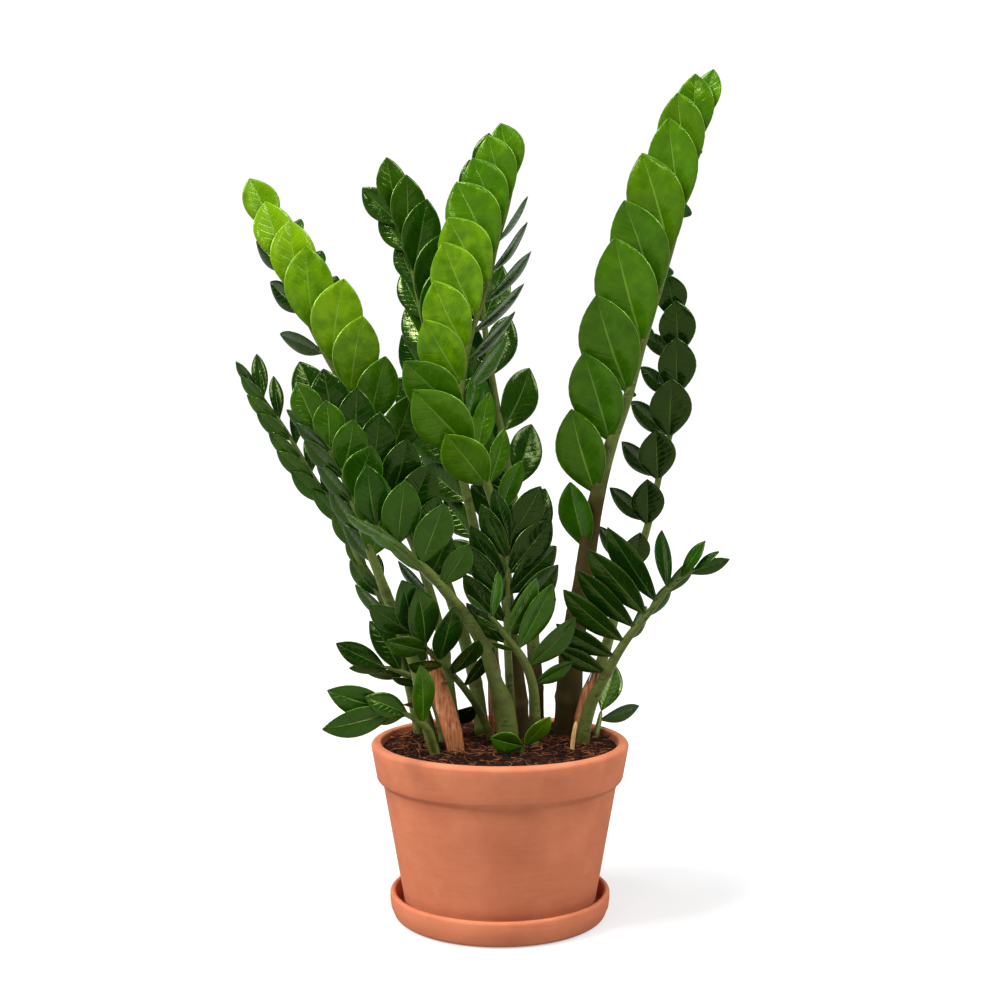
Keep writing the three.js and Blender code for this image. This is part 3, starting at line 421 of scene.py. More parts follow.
            {"side": 1, "count": 2, "from": 0.8, "to": 0.985, "plump": 0.5,
             "long": [52, 62], "spread": [54, 2], "lift": [4, 0], "roll": [56, 6],
             "tone": [0.2, 0.34]},
        ],
    },
    {
        "name": "sprout_front", "seed": 137, "slot": "leaf_green",
        "foot": (0.0, 180), "rings": (),
        "path": [[22, -58, 178, 2.2], [23, -60, 185, 1.9], [25, -62, 192, 1.5]],
        "ranks": [
            {"side": 1, "count": 1, "from": 0.97, "to": 0.97, "plump": 0.52,
             "long": [46], "spread": [22], "lift": [14], "roll": [10], "tone": [0.7]},
            {"side": -1, "count": 1, "from": 0.94, "to": 0.94, "plump": 0.8,
             "long": [36], "spread": [130], "lift": [60], "roll": [0], "tone": [0.66]},
        ],
    },
]

STUB = {"name": "stub_right",
        "path": [[74, -40, 180, 2.4], [75, -40, 194, 2.3], [78, -39, 210, 2]]}

# Dry sheaths: [x, y, z, radius of the curl inside, half of the angle that it wraps], and
# facing, the side that the curl covers, in degrees round from the front.
SHEATHS = [
    {"name": "sheath_left", "facing": 24, "thick": 1.6,
     "path": [[-46, -44, 178, 9, 62], [-51, -45, 202, 11, 64], [-60, -44, 232, 11.5, 60],
              [-69, -42, 262, 10, 48], [-76, -40, 288, 9, 20]]},
    {"name": "sheath_right", "facing": 20, "thick": 1.5,
     "path": [[82, 27, 178, 11, 44], [86, 27, 204, 12, 52], [93, 26, 232, 12, 50],
              [100, 25, 258, 11, 24]]},
    {"name": "sheath_middle", "facing": 10, "thick": 1.4,
     "path": [[-4, 46, 178, 8.6, 56], [-5.3, 50, 214, 8.4, 62], [-7, 53, 248, 8, 52],
              [-9, 55.6, 272, 7.8, 18]]},
]


# ---- Colours ----
def srgb(hex_value):
    """The linear colour of an sRGB hex value."""
    parts = [int(hex_value[i:i + 2], 16) / 255 for i in (1, 3, 5)]
    return (*(c / 12.92 if c <= 0.04045 else ((c + 0.055) / 1.055) ** 2.4 for c in parts), 1.0)


def colour(label, words, hex_value):
    """A colour that a user may change."""
    return FloatVectorProperty(name=label, description=words, default=srgb(hex_value),
                               size=4, min=0, max=1, subtype="COLOR")


def distance(label, words, millimetres):
    """A length that a user may change, in metres."""
    return FloatProperty(name=label, description=words, default=millimetres * MM,
                         min=0, unit="LENGTH", subtype="DISTANCE")


class PotSizes(bpy.types.PropertyGroup):
    """Sizes of the pot and its saucer."""

    rim_radius: distance("Rim radius", "Outside radius of the rim band at its top", 135)
    rim_top: distance("Rim top", "Height of the rim above the floor", 183.5)
    rim_lip: distance("Rim lip", "Rounding of the rim's outer edge", 4.5)
    band_radius: distance("Band radius", "Outside radius of the rim band at its bottom", 129.2)
    band_bottom: distance("Band bottom", "Height of the rim band's lower edge", 147)
    neck_radius: distance("Neck radius", "Outside radius of the body under the band", 122.7)
    neck_height: distance("Neck height", "Height of the body under the band", 140)
    foot_radius: distance("Foot radius", "Outside radius of the pot's foot", 99.4)
    foot_height: distance("Foot height", "Height of the pot's foot above the floor", 7.8)
    wall: distance("Wall", "Thickness of the pot's wall", 10.9)
    floor: distance("Floor", "Thickness of the pot's floor", 12)
    drain_radius: distance("Drain hole", "Radius of the drain hole", 11)
    saucer_foot: distance("Saucer foot", "Radius of the saucer's flat underside", 106)
    saucer_belly: distance("Saucer belly", "Largest radius of the saucer", 115.5)
    saucer_mouth: distance("Saucer mouth", "Radius of the saucer's inside at the top", 109.3)
    saucer_height: distance("Saucer height", "Height of the saucer", 27)
    saucer_floor: distance("Saucer floor", "Thickness of the saucer's floor", 7.5)


class PlantSizes(bpy.types.PropertyGroup):
    """Sizes of the small parts of the plant."""

    blade: distance("Blade", "Thickness of a leaflet's blade", 1.0)
    petiole: distance("Petiole", "Thickness where a leaflet leaves its stem", 3.0)
    strand: distance("Strand", "Thickness of a coir strand", 0.85)
    strands: IntProperty(name="Strands", description="How many coir strands lie on the soil",
                         default=1700, min=0)
    crumbs: IntProperty(name="Crumbs", description="How many crumbs lie on the soil",
                        default=800, min=0)


class PlantColours(bpy.types.PropertyGroup):
    """Colours of the pot and the plant."""

    clay: colour("Clay", "Fired clay", "#BE6F4D")
    clay_deep: colour("Deep clay", "Clay where it is fired darker", "#AF6242")
    clay_bloom: colour("Salt bloom", "Pale salts on the clay", "#CB8863")
    # The darkest leaf colour is partly painted shade: it colours leaflets given a low tone for the
    # shade that falls on them.
    leaf_old_and_shaded: colour("Old leaf", "The darkest leaflets", "#0B2306")
    leaf_deep: colour("Deep leaf", "Dark leaflets", "#183A07")
    leaf_green: colour("Green leaf", "Leaflets of middle age", "#2C5603")
    leaf_fresh: colour("Fresh leaf", "Bright leaflets", "#487603")
    leaf_new: colour("New leaf", "The newest leaflets", "#6D9A05")
    midrib: colour("Midrib", "The pale line down a leaflet", "#8FBC48")
    stem: colour("Stem", "Fleshy green stem", "#4B5722")
    stem_dark: colour("Stem mottling", "Dark marks on a stem", "#2B361A")
    stem_foot: colour("Stem foot", "Old brown foot of a stem", "#2B2109")
    sheath: colour("Sheath", "Dry sheath", "#C4804A")
    sheath_dark: colour("Sheath ribs", "Dark ribs of a dry sheath", "#6E3519")
    soil: colour("Soil", "Potting soil", "#150A05")
    coir: colour("Coir", "Coconut fibre", "#63301A")


# ---- Small maths ----
def mix(a, b, t):
    """The value at a share t of the way from a to b."""
    return a + (b - a) * t


def smooth(a, b, x):
    """0 below a, 1 above b, and an eased step between."""
    t = min(1.0, max(0.0, (x - a) / (b - a)))
    return t * t * (3 - 2 * t)


def profile(values, t):
    """The value at a share t of a list that runs evenly from first to last."""
    if len(values) == 1:
        return values[0]
    place = t * (len(values) - 1)
    i = min(len(values) - 2, int(place))
    return mix(values[i], values[i + 1], place - i)


def straight(start, end, steps):
    """Even points on a straight side, both ends among them, as (radius, height)."""
    return [(mix(start[0], end[0], i / steps), mix(start[1], end[1], i / steps))
            for i in range(steps + 1)]


def arc(r, z, radius, start, end, steps):
    """Points on a rounded corner, as (radius, height)."""
    angles = [math.radians(mix(start, end, i / steps)) for i in range(steps + 1)]
    return [(r + radius * math.cos(a), z + radius * math.sin(a)) for a in angles]


def park_miller(seed):
    """The frame's own random numbers, so that the leaflets come out where its solids are."""
    state = seed
    while True:
        state = state * 16807 % 2147483647
        yield state / 2147483647


# ---- Modelling ----
def deselect():
    """Leaves nothing selected, because an operator acts on all that is."""
    if bpy.context.object and bpy.context.object.mode != "OBJECT":
        bpy.ops.object.mode_set(mode="OBJECT")
    bpy.ops.object.select_all(action="DESELECT")


def named(name):
    """Names the primitive that was just added."""
    piece = bpy.context.object
    piece.name = name
    piece.data.name = name
    return piece


def settle(piece):
    """Puts a piece's place in its mesh, so that the object sits at the origin."""
    piece.data.transform(piece.matrix_world)
    piece.matrix_world = Matrix.Identity(4)
    return piece


def finish_modifier(piece, kind, **settings):
    """Adds a modifier and applies it."""
    modifier = piece.modifiers.new(kind.title(), kind)
    for name, value in settings.items():
        setattr(modifier, name, value)
    bpy.context.view_layer.objects.active = piece
    bpy.ops.object.modifier_apply(modifier=modifier.name)


def turned(name, section, segments, closed):
    """Turns a section of (radius, height) round the pot's axis, ring after ring."""
    deselect()
    radius, height = section[0]
    bpy.ops.mesh.primitive_circle_add(vertices=segments, radius=radius, location=(0, 0, height),
                                      fill_type="NOTHING" if closed else "NGON")
    piece = settle(named(name))
    bpy.ops.object.mode_set(mode="EDIT")
    bpy.ops.mesh.select_all(action="SELECT")
    for new_radius, new_height in section[1:]:
        bpy.ops.mesh.extrude_region_move(
            TRANSFORM_OT_translate={"value": (0, 0, new_height - height)})
        k = new_radius / radius
        bpy.ops.transform.resize(value=(k, k, 1), center_override=(0, 0, new_height))
        radius, height = new_radius, new_height
    bpy.ops.mesh.select_all(action="SELECT")
    bpy.ops.mesh.remove_doubles(threshold=1e-5)
    bpy.ops.mesh.normals_make_consistent(inside=False)
    bpy.ops.object.mode_set(mode="OBJECT")
    bpy.ops.object.shade_smooth_by_angle(angle=math.radians(SHARP_EDGE))
    return piece


def tube(name, sides, rings):
    """A closed cylinder with even rings, 1 high and 1 in radius, ready to be bent."""
    deselect()
    bpy.ops.mesh.primitive_cylinder_add(vertices=sides, radius=1, depth=1,
                                        end_fill_type="TRIFAN")
    piece = named(name)
    bpy.ops.object.mode_set(mode="EDIT")
    bpy.ops.mesh.select_all(action="DESELECT")
    work = bmesh.from_edit_mesh(piece.data)
    for edge in work.edges:
        edge.select = abs(edge.verts[0].co.z - edge.verts[1].co.z) > 0.5
    bpy.ops.mesh.subdivide(number_cuts=rings - 1)
    bpy.ops.object.mode_set(mode="OBJECT")
    bpy.ops.object.shade_smooth()
    return piece


def slab(name, across, along):
    """A flat slab of a grid: x across, y along and z its two faces, each from -1 to 1."""
    deselect()
    bpy.ops.mesh.primitive_grid_add(x_subdivisions=across, y_subdivisions=along, size=2)
    piece = named(name)
    finish_modifier(piece, "SOLIDIFY", thickness=2, offset=0)
    return piece


def copied(blank):
    """A copy with its own mesh, to be bent."""
    copy = blank.copy()
    copy.data = blank.data.copy()
    bpy.context.collection.objects.link(copy)
    return copy


def turn_faces_out(piece):
    """Recalculates the normals of a closed piece, because bending can turn it inside out."""
    deselect()
    piece.select_set(True)
    bpy.context.view_layer.objects.active = piece
    bpy.ops.object.mode_set(mode="EDIT")
    bpy.ops.mesh.select_all(action="SELECT")
    bpy.ops.mesh.normals_make_consistent(inside=False)
    bpy.ops.object.mode_set(mode="OBJECT")


def store(piece, name, values):
    """Keeps a number for each point of a mesh, for the materials."""
    attribute = piece.data.attributes.new(name, "FLOAT", "POINT")
    attribute.data.foreach_set("value", values)


def joined(name, pieces):
    """Joins copies into one piece."""
    deselect()
    for piece in pieces:
        piece.select_set(True)
    bpy.context.view_layer.objects.active = pieces[0]
    bpy.ops.object.join()
    return named(name)


def ready(piece, material, slot, *nodes):
    """Gives a finished piece its material and its body, and hides the frame's solids of the nodes
    that it stands for. The slot is not used.
    """
    piece.data.materials.clear()
    piece.data.materials.append(material)
    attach(piece, "root")
    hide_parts(*nodes)


# ---- Materials ----
# Inputs that share a name go by number. Mix: 0 is the share, and 6 and 7 are the two colours.
# Math: 0, 1 and 2 are its values, and it adds where no operation is named. MapRange: 0 is the
# value, 1 and 2 are the range that it comes from, and 3 and 4 the range that it goes to. Both
# are 0 to 1 where nothing is said. A noise's Scale is 1 over its size in metres.
def feed(tree, node, inputs):
    """Fills a node's inputs. One that is given a node or a socket is linked, others are set."""
    for key, value in inputs.items():
        if isinstance(value, bpy.types.Node):
            value = next(socket for socket in value.outputs if socket.enabled)
        if isinstance(value, bpy.types.NodeSocket):
            tree.links.new(value, node.inputs[key])
        else:
            node.inputs[key].default_value = value


def add(tree, kind, inputs=None, stops=None, **settings):
    """Adds a node with its settings, inputs and colour stops."""
    node = tree.nodes.new("ShaderNode" + kind)
    for name, value in settings.items():
        setattr(node, name, value)
    feed(tree, node, inputs or {})
    if stops:
        elements = node.color_ramp.elements
        while len(elements) < len(stops):
            elements.new(0.5)
        for element, (place, tint) in zip(elements, stops):
            element.position = place
            element.color = tint
    return node


def new_material(name):
    """A material with nothing but its shader, and the shader's tree."""
    material = bpy.data.materials.new(name)
    material.use_nodes = True
    tree = material.node_tree
    tree.nodes.clear()
    shader = add(tree, "BsdfPrincipled")
    add(tree, "OutputMaterial", {"Surface": shader}, target="ALL")
    return material, tree, shader


def side_veins(tree, place, across, out, along):
    """About nine pairs of side veins, each leaving the midrib and swinging forward."""
    swing = add(tree, "Math", {0: out, 1: -1.7}, operation="MULTIPLY")
    count = add(tree, "Math", {0: along, 1: 9.0, 2: swing}, operation="MULTIPLY_ADD")
    half = add(tree, "Math", {0: across, 1: 0.0}, operation="GREATER_THAN")
    stagger = add(tree, "Math", {0: half, 1: 0.5, 2: count}, operation="MULTIPLY_ADD")
    waver = add(tree, "TexNoise", {"Vector": place, "Scale": 1 / 0.02})
    loose = add(tree, "Math", {0: waver, 1: 0.5, 2: stagger}, operation="MULTIPLY_ADD")
    cycle = add(tree, "Math", {0: loose}, operation="FRACT")
    centre = add(tree, "Math", {0: cycle, 1: 0.5}, operation="SUBTRACT")
    away = add(tree, "Math", {0: centre}, operation="ABSOLUTE")
    vein = add(tree, "MapRange", {0: away, 1: 0.0, 2: 0.16, 3: 1.0, 4: 0.0},
               interpolation_type="SMOOTHSTEP")
    fade = add(tree, "MapRange", {0: out, 1: 0.95, 2: 0.5})
    return add(tree, "Math", {0: vein, 1: fade}, operation="MULTIPLY")


def leaf_relief(tree, place, out, rib, side_vein, clouds):
    """The height of a leaflet's face: its groove, its veins and its shallow swells."""
    # The midrib is sunk about 0.5 mm, and the blade swells a little between its side veins.
    groove = add(tree, "Math", {0: rib, 1: -0.6}, operation="MULTIPLY")
    swell = add(tree, "Math", {0: side_vein, 1: -0.17, 2: groove}, operation="MULTIPLY_ADD")
    dimple = add(tree, "Math", {0: clouds, 1: 0.9, 2: swell}, operation="MULTIPLY_ADD")
    # Each half of the blade is a shallow pillow, and the whole undulates every 30 mm.
    inward = add(tree, "Math", {0: 1.0, 1: out}, operation="SUBTRACT")
    arch = add(tree, "Math", {0: out, 1: inward}, operation="MULTIPLY")
    pillow = add(tree, "Math", {0: arch, 1: 4.0, 2: dimple}, operation="MULTIPLY_ADD")
    waves = add(tree, "TexNoise", {"Vector": place, "Scale": 1 / 0.03, "Detail": 0.0})
    wavy = add(tree, "Math", {0: waves, 1: 4.0, 2: pillow}, operation="MULTIPLY_ADD")
    return add(tree, "Bump", {"Strength": 0.7, "Distance": 0.0011, "Height": wavy})


def waxy_leaf(colours):
    """Waxy cuticle over a fleshy blade: a soft gloss, a pale midrib sunk in a groove, faint
    side veins that swing towards the tip, and a thin pale rim."""
    material, tree, shader = new_material("waxy_leaf")
    place = add(tree, "TexCoord").outputs["Object"]
    split = add(tree, "SeparateXYZ", {0: add(tree, "UVMap", uv_map="UVMap")})
    tone, tint, under, dry = (add(tree, "Attribute", attribute_name=name).outputs["Fac"]
                              for name in ("tone", "tint", "under", "dry"))
    across = add(tree, "MapRange", {0: split.outputs["X"], 3: -1.0, 4: 1.0})
    out = add(tree, "Math", {0: across}, operation="ABSOLUTE")
    along = split.outputs["Y"]

    # Clouds of lighter and darker green, about 14 mm across.
    clouds = add(tree, "TexNoise", {"Vector": place, "Scale": 1 / 0.014, "Detail": 3.0})
    shift = add(tree, "MapRange", {0: clouds, 1: 0.3, 2: 0.7, 3: -0.09, 4: 0.07})
    mellow = add(tree, "Math", {0: tone, 1: shift})
    # The ramp follows the tone, so its dark end is partly painted shade on leaflets that lie in
    # shade.
    green = add(tree, "ValToRGB", {0: mellow}, stops=[
        (0.0, colours.leaf_old_and_shaded), (0.3, colours.leaf_deep), (0.58, colours.leaf_green),
        (0.86, colours.leaf_fresh), (1.0, colours.leaf_new)])

    side_vein = side_veins(tree, place, across, out, along)

    # The midrib is one or two millimetres wide and thins to a hair at the tip.
    rib_width = add(tree, "MapRange", {0: along, 3: 0.085, 4: 0.022})
    rib_core = add(tree, "Math", {0: out, 1: rib_width}, operation="DIVIDE")
    rib = add(tree, "MapRange", {0: rib_core, 1: 0.25, 2: 1.0, 3: 1.0, 4: 0.0},
              interpolation_type="SMOOTHSTEP")
    rim = add(tree, "MapRange", {0: out, 1: 0.945, 2: 0.985},
              interpolation_type="SMOOTHSTEP")
    stalk = add(tree, "MapRange", {0: along, 1: 0.02, 2: 0.09, 3: 1.0, 4: 0.0},
                interpolation_type="SMOOTHSTEP")

    # Midrib and rim stand out less on a leaflet of dark tone than on a bright one.
    showing = add(tree, "MapRange", {0: tone, 3: 0.2, 4: 0.62})
    light = add(tree, "Mix", {0: showing, 6: green, 7: colours.midrib}, data_type="RGBA")
    veined = add(tree, "Math", {0: side_vein, 1: 0.05}, operation="MULTIPLY")
    with_veins = add(tree, "Mix", {0: veined, 6: green, 7: light}, data_type="RGBA")
    rimmed = add(tree, "Math", {0: rim, 1: showing}, operation="MULTIPLY")
    with_rim = add(tree, "Mix", {0: rimmed, 6: with_veins, 7: colours.midrib}, data_type="RGBA")
    ribbed = add(tree, "Math", {0: rib, 1: 0.8}, operation="MULTIPLY")
    with_rib = add(tree, "Mix", {0: ribbed, 6: with_rim, 7: light}, data_type="RGBA")
    stalked = add(tree, "Math", {0: stalk, 1: 0.7}, operation="MULTIPLY")
    with_stalk = add(tree, "Mix", {0: stalked, 6: with_rib, 7: colours.stem}, data_type="RGBA")
    # The underside is paler and duller.
    pale = add(tree, "Mix", {0: 0.3, 6: with_stalk, 7: srgb("#56743A")}, data_type="RGBA")
    both = add(tree, "Mix", {0: under, 6: with_stalk, 7: pale}, data_type="RGBA")
    value = add(tree, "MapRange", {0: tint, 3: 0.86, 4: 1.12})
    hue = add(tree, "MapRange", {0: tint, 1: 1.0, 2: 0.0, 3: 0.49, 4: 0.508})
    varied = add(tree, "HueSaturation", {"Hue": hue, "Value": value, "Color": both})
    withered = add(tree, "Mix", {0: dry, 6: varied, 7: srgb("#7A4A22")}, data_type="RGBA")

    # Leaflets of a lower tone, old ones and those darkened as painted shade, are glossier, and each
    # is a little uneven, 20 mm across.
    gloss = add(tree, "TexNoise", {"Vector": place, "Scale": 1 / 0.02, "Detail": 2.0})
    worn = add(tree, "MapRange", {0: gloss, 1: 0.3, 2: 0.7, 3: 0.07, 4: 0.18})
    rough = add(tree, "Math", {0: tone, 1: 0.12, 2: worn}, operation="MULTIPLY_ADD")
    dulled = add(tree, "Math", {0: under, 1: 0.15, 2: rough}, operation="MULTIPLY_ADD")

    bump = leaf_relief(tree, place, out, rib, side_vein, clouds)
    # Light that the wax sends back is tinged by the leaf under it.
    feed(tree, shader, {"Base Color": withered, "Roughness": dulled, "IOR": 1.46,
                        "Specular IOR Level": 0.5, "Specular Tint": (0.75, 1.0, 0.3, 1.0),
                        "Normal": bump})
    return material


def fleshy_stem(colours):
    """Smooth fleshy stem: olive, clouded paler, with dark cross marks, pale brown scars and
    an old foot as brown as cork."""
    material, tree, shader = new_material("fleshy_stem")
    place = add(tree, "TexCoord").outputs["Object"]
    brown, scar = (add(tree, "Attribute", attribute_name=name).outputs["Fac"]
                   for name in ("brown", "scar"))
    # Marks 3 mm high and twice as wide round the stem, over clouds 15 mm across.
    squat = add(tree, "Mapping", {"Vector": place, "Scale": (0.5, 0.5, 1.0)})
    marks = add(tree, "TexNoise", {"Vector": squat, "Scale": 1 / 0.003, "Detail": 2.0})
    flecks = add(tree, "MapRange", {0: marks, 1: 0.5, 2: 0.66})
    clouds = add(tree, "TexNoise", {"Vector": place, "Scale": 1 / 0.015, "Detail": 3.0})
    patches = add(tree, "MapRange", {0: clouds, 1: 0.4, 2: 0.62, 3: 0.0, 4: 0.75})
    spots = add(tree, "Math", {0: flecks, 1: patches}, operation="MULTIPLY")
    pale = add(tree, "Mix", {0: clouds, 6: colours.stem, 7: srgb("#68753A")}, data_type="RGBA")
    mottled = add(tree, "Mix", {0: spots, 6: pale, 7: colours.stem_dark}, data_type="RGBA")
    bark = add(tree, "Mix", {0: clouds, 6: colours.stem_foot, 7: srgb("#413317")},
               data_type="RGBA")
    patchy = add(tree, "Math", {0: clouds, 1: 0.6, 2: brown}, operation="MULTIPLY_ADD")
    barked = add(tree, "MapRange", {0: patchy, 1: 0.45, 2: 0.85},
                 interpolation_type="SMOOTHSTEP")
    aged = add(tree, "Mix", {0: barked, 6: mottled, 7: bark}, data_type="RGBA")
    scarred = add(tree, "Mix", {0: scar, 6: aged, 7: srgb("#4A3A22")}, data_type="RGBA")
    rough = add(tree, "MapRange", {0: barked, 3: 0.38, 4: 0.75})
    bump = add(tree, "Bump", {"Strength": 0.4, "Distance": 0.0008, "Height": marks})
    feed(tree, shader, {"Base Color": scarred, "Roughness": rough, "IOR": 1.45,
                        "Specular IOR Level": 0.25, "Specular Tint": (0.95, 1.0, 0.6, 1.0),
                        "Normal": bump})
    return material


def terracotta(colours):
    """Unglazed fired clay, turned on a wheel: matte and chalky, with faint turning lines,
    fine sandy grain and a pale bloom of salts where water has dried."""
    material, tree, shader = new_material("fired_terracotta")
    place = add(tree, "TexCoord").outputs["Object"]
    split = add(tree, "SeparateXYZ", {0: place})
    # Firing clouds about 60 mm across.
    clouds = add(tree, "TexNoise", {"Vector": place, "Scale": 1 / 0.06, "Detail": 4.0,
                                    "Roughness": 0.6})
    fired = add(tree, "MapRange", {0: clouds, 1: 0.35, 2: 0.68})
    clay = add(tree, "Mix", {0: fired, 6: colours.clay, 7: colours.clay_deep}, data_type="RGBA")
    # Turning lines about 2 mm apart: noise drawn out round the pot.
    flat = add(tree, "Mapping", {"Vector": place, "Scale": (0.05, 0.05, 1.0)})
    lines = add(tree, "TexNoise", {"Vector": flat, "Scale": 1 / 0.002, "Detail": 3.0})
    lined = add(tree, "MapRange", {0: lines, 1: 0.35, 2: 0.7, 3: 0.0, 4: 0.12})
    turned_clay = add(tree, "Mix", {0: lined, 6: clay, 7: colours.clay_bloom}, data_type="RGBA")
    # Bloom: in patches about 25 mm across, and more of it on the rim band.
    patches = add(tree, "TexNoise", {"Vector": place, "Scale": 1 / 0.025, "Detail": 6.0,
                                     "Roughness": 0.65})
    high = add(tree, "MapRange", {0: split.outputs["Z"], 1: 0.13, 2: 0.19, 3: 0.0, 4: 0.12})
    salts = add(tree, "Math", {0: patches, 1: high})
    bloom = add(tree, "MapRange", {0: salts, 1: 0.5, 2: 0.86, 3: 0.0, 4: 0.3},
                interpolation_type="SMOOTHSTEP")
    dusty = add(tree, "Mix", {0: bloom, 6: turned_clay, 7: colours.clay_bloom}, data_type="RGBA")
    # Sandy grain, drawn 0.9 mm across so that it shows.
    grain = add(tree, "TexNoise", {"Vector": place, "Scale": 1 / 0.0009, "Detail": 2.0})
    sand = add(tree, "MapRange", {0: grain, 1: 0.3, 2: 0.7, 3: 0.96, 4: 1.04})
    grainy = add(tree, "HueSaturation", {"Value": sand, "Color": dusty})
    rough = add(tree, "MapRange", {0: grain, 3: 0.75, 4: 0.95})
    relief = add(tree, "Math", {0: lines, 1: 0.6, 2: grain}, operation="MULTIPLY_ADD")
    bump = add(tree, "Bump", {"Strength": 0.22, "Distance": 0.0005, "Height": relief})
    feed(tree, shader, {"Base Color": grainy, "Roughness": rough, "IOR": 1.5,
                        "Specular IOR Level": 0.3, "Normal": bump})
    return material


def coir_soil(colours):
    """Damp potting soil: matte and nearly black, with browner crumbs."""
    material, tree, shader = new_material("coir_soil")
    place = add(tree, "TexCoord").outputs["Object"]
    # Crumbs about 3 mm across, in patches of 18 mm.
    crumbs = add(tree, "TexNoise", {"Vector": place, "Scale": 1 / 0.003, "Detail": 5.0,
                                    "Roughness": 0.7})
    patches = add(tree, "TexNoise", {"Vector": place, "Scale": 1 / 0.018, "Detail": 2.0})
    blend = add(tree, "Math", {0: crumbs, 1: patches}, operation="MULTIPLY")
    brown = add(tree, "ValToRGB", {0: blend}, stops=[
        (0.16, colours.soil), (0.3, srgb("#26120A")), (0.42, srgb("#3D1D10"))])
    bump = add(tree, "Bump", {"Strength": 1.0, "Distance": 0.002, "Height": crumbs})
    feed(tree, shader, {"Base Color": brown, "Roughness": 0.95, "Specular IOR Level": 0.15,
                        "Normal": bump})
    return material


def coir_fibre(colours):
    """Coconut husk fibre: dry, matte and red-brown, from nearly black to a few pale strands."""
    material, tree, shader = new_material("coir_fibre")
    place = add(tree, "TexCoord").outputs["Object"]
    tint = add(tree, "Attribute", attribute_name="tint").outputs["Fac"]
    shade = add(tree, "TexNoise", {"Vector": place, "Scale": 1 / 0.004, "Detail": 2.0})
    blend = add(tree, "Math", {0: shade, 1: 0.4, 2: tint}, operation="MULTIPLY_ADD")
    brown = add(tree, "ValToRGB", {0: blend}, stops=[
        (0.15, srgb("#150804")), (0.6, srgb("#32160A")), (0.95, colours.coir),
        (1.0, srgb("#8C5530"))])
    feed(tree, shader, {"Base Color": brown, "Roughness": 0.85, "Specular IOR Level": 0.2})
    return material


def dry_sheath(colours):
    """Dead leaf sheath, papery and split: orange-tan with dark ribs along it and frayed
    dark edges."""
    material, tree, shader = new_material("dry_sheath")
    place = add(tree, "TexCoord").outputs["Object"]
    edge = add(tree, "Attribute", attribute_name="edge").outputs["Fac"]
    # Ribs about 1.6 mm apart that run up the sheath, over stains 12 mm across.
    tall = add(tree, "Mapping", {"Vector": place, "Scale": (1.0, 1.0, 0.06)})
    ribs = add(tree, "TexNoise", {"Vector": tall, "Scale": 1 / 0.0016, "Detail": 3.0})
    stains = add(tree, "TexNoise", {"Vector": place, "Scale": 1 / 0.012, "Detail": 4.0})
    dark = add(tree, "MapRange", {0: ribs, 1: 0.42, 2: 0.66, 3: 0.0, 4: 0.9})
    warm = add(tree, "Mix", {0: stains, 6: colours.sheath, 7: srgb("#A85C2E")}, data_type="RGBA")
    pale = add(tree, "MapRange", {0: stains, 1: 0.55, 2: 0.75, 3: 0.0, 4: 0.7})
    tan = add(tree, "Mix", {0: pale, 6: warm, 7: srgb("#DDAE7C")}, data_type="RGBA")
    ribbed = add(tree, "Mix", {0: dark, 6: tan, 7: colours.sheath_dark}, data_type="RGBA")
    frayed = add(tree, "Mix", {0: edge, 6: ribbed, 7: srgb("#5A2B15")}, data_type="RGBA")
    bump = add(tree, "Bump", {"Strength": 0.8, "Distance": 0.001, "Height": ribs})
    feed(tree, shader, {"Base Color": frayed, "Roughness": 0.7, "Normal": bump})
    return material


def dry_stalk():
    """Dry cut stalk: tan and woody, with grain along it."""
    material, tree, shader = new_material("dry_stalk")
    place = add(tree, "TexCoord").outputs["Object"]
    tall = add(tree, "Mapping", {"Vector": place, "Scale": (1.0, 1.0, 0.1)})
    grain = add(tree, "TexNoise", {"Vector": tall, "Scale": 1 / 0.001, "Detail": 3.0})
    tan = add(tree, "ValToRGB", {0: grain}, stops=[
        (0.3, srgb("#8A6234")), (0.55, srgb("#C79E62")), (0.75, srgb("#DDBB86"))])
    bump = add(tree, "Bump", {"Strength": 0.5, "Distance": 0.0005, "Height": grain})
    feed(tree, shader, {"Base Color": tan, "Roughness": 0.8, "Normal": bump})
    return material


# ---- The plant's rules, as the frame's solids follow them ----
def curve_point(points, t):
    """A point of the smooth curve through the points (a centripetal Catmull-Rom curve)."""
    place = (len(points) - 1) * t
    i = min(int(place), len(points) - 2)
    weight = place - i
    p1, p2 = points[i], points[i + 1]
    p0 = points[i - 1] if i > 0 else 2 * points[0] - points[1]
    p3 = points[i + 2] if i + 2 < len(points) else 2 * points[-1] - points[-2]
    d1 = math.sqrt((p2 - p1).length) or 1.0
    d0 = math.sqrt((p1 - p0).length) or d1
    d2 = math.sqrt((p3 - p2).length) or d1
    t1 = ((p1 - p0) / d0 - (p2 - p0) / (d0 + d1) + (p2 - p1) / d1) * d1
    t2 = ((p2 - p1) / d1 - (p3 - p1) / (d1 + d2) + (p3 - p2) / d2) * d1
    c2 = -3 * p1 + 3 * p2 - 2 * t1 - t2
    c3 = 2 * p1 - 2 * p2 + t1 + t2
    return p1 + t1 * weight + c2 * weight ** 2 + c3 * weight ** 3


def curve_lengths(points, count):
    """Running length of the curve at even steps of its own measure."""
    lengths = [0.0]
    last = curve_point(points, 0)
    for i in range(1, count + 1):
        here = curve_point(points, i / count)
        lengths.append(lengths[-1] + (here - last).length)
        last = here
    return lengths


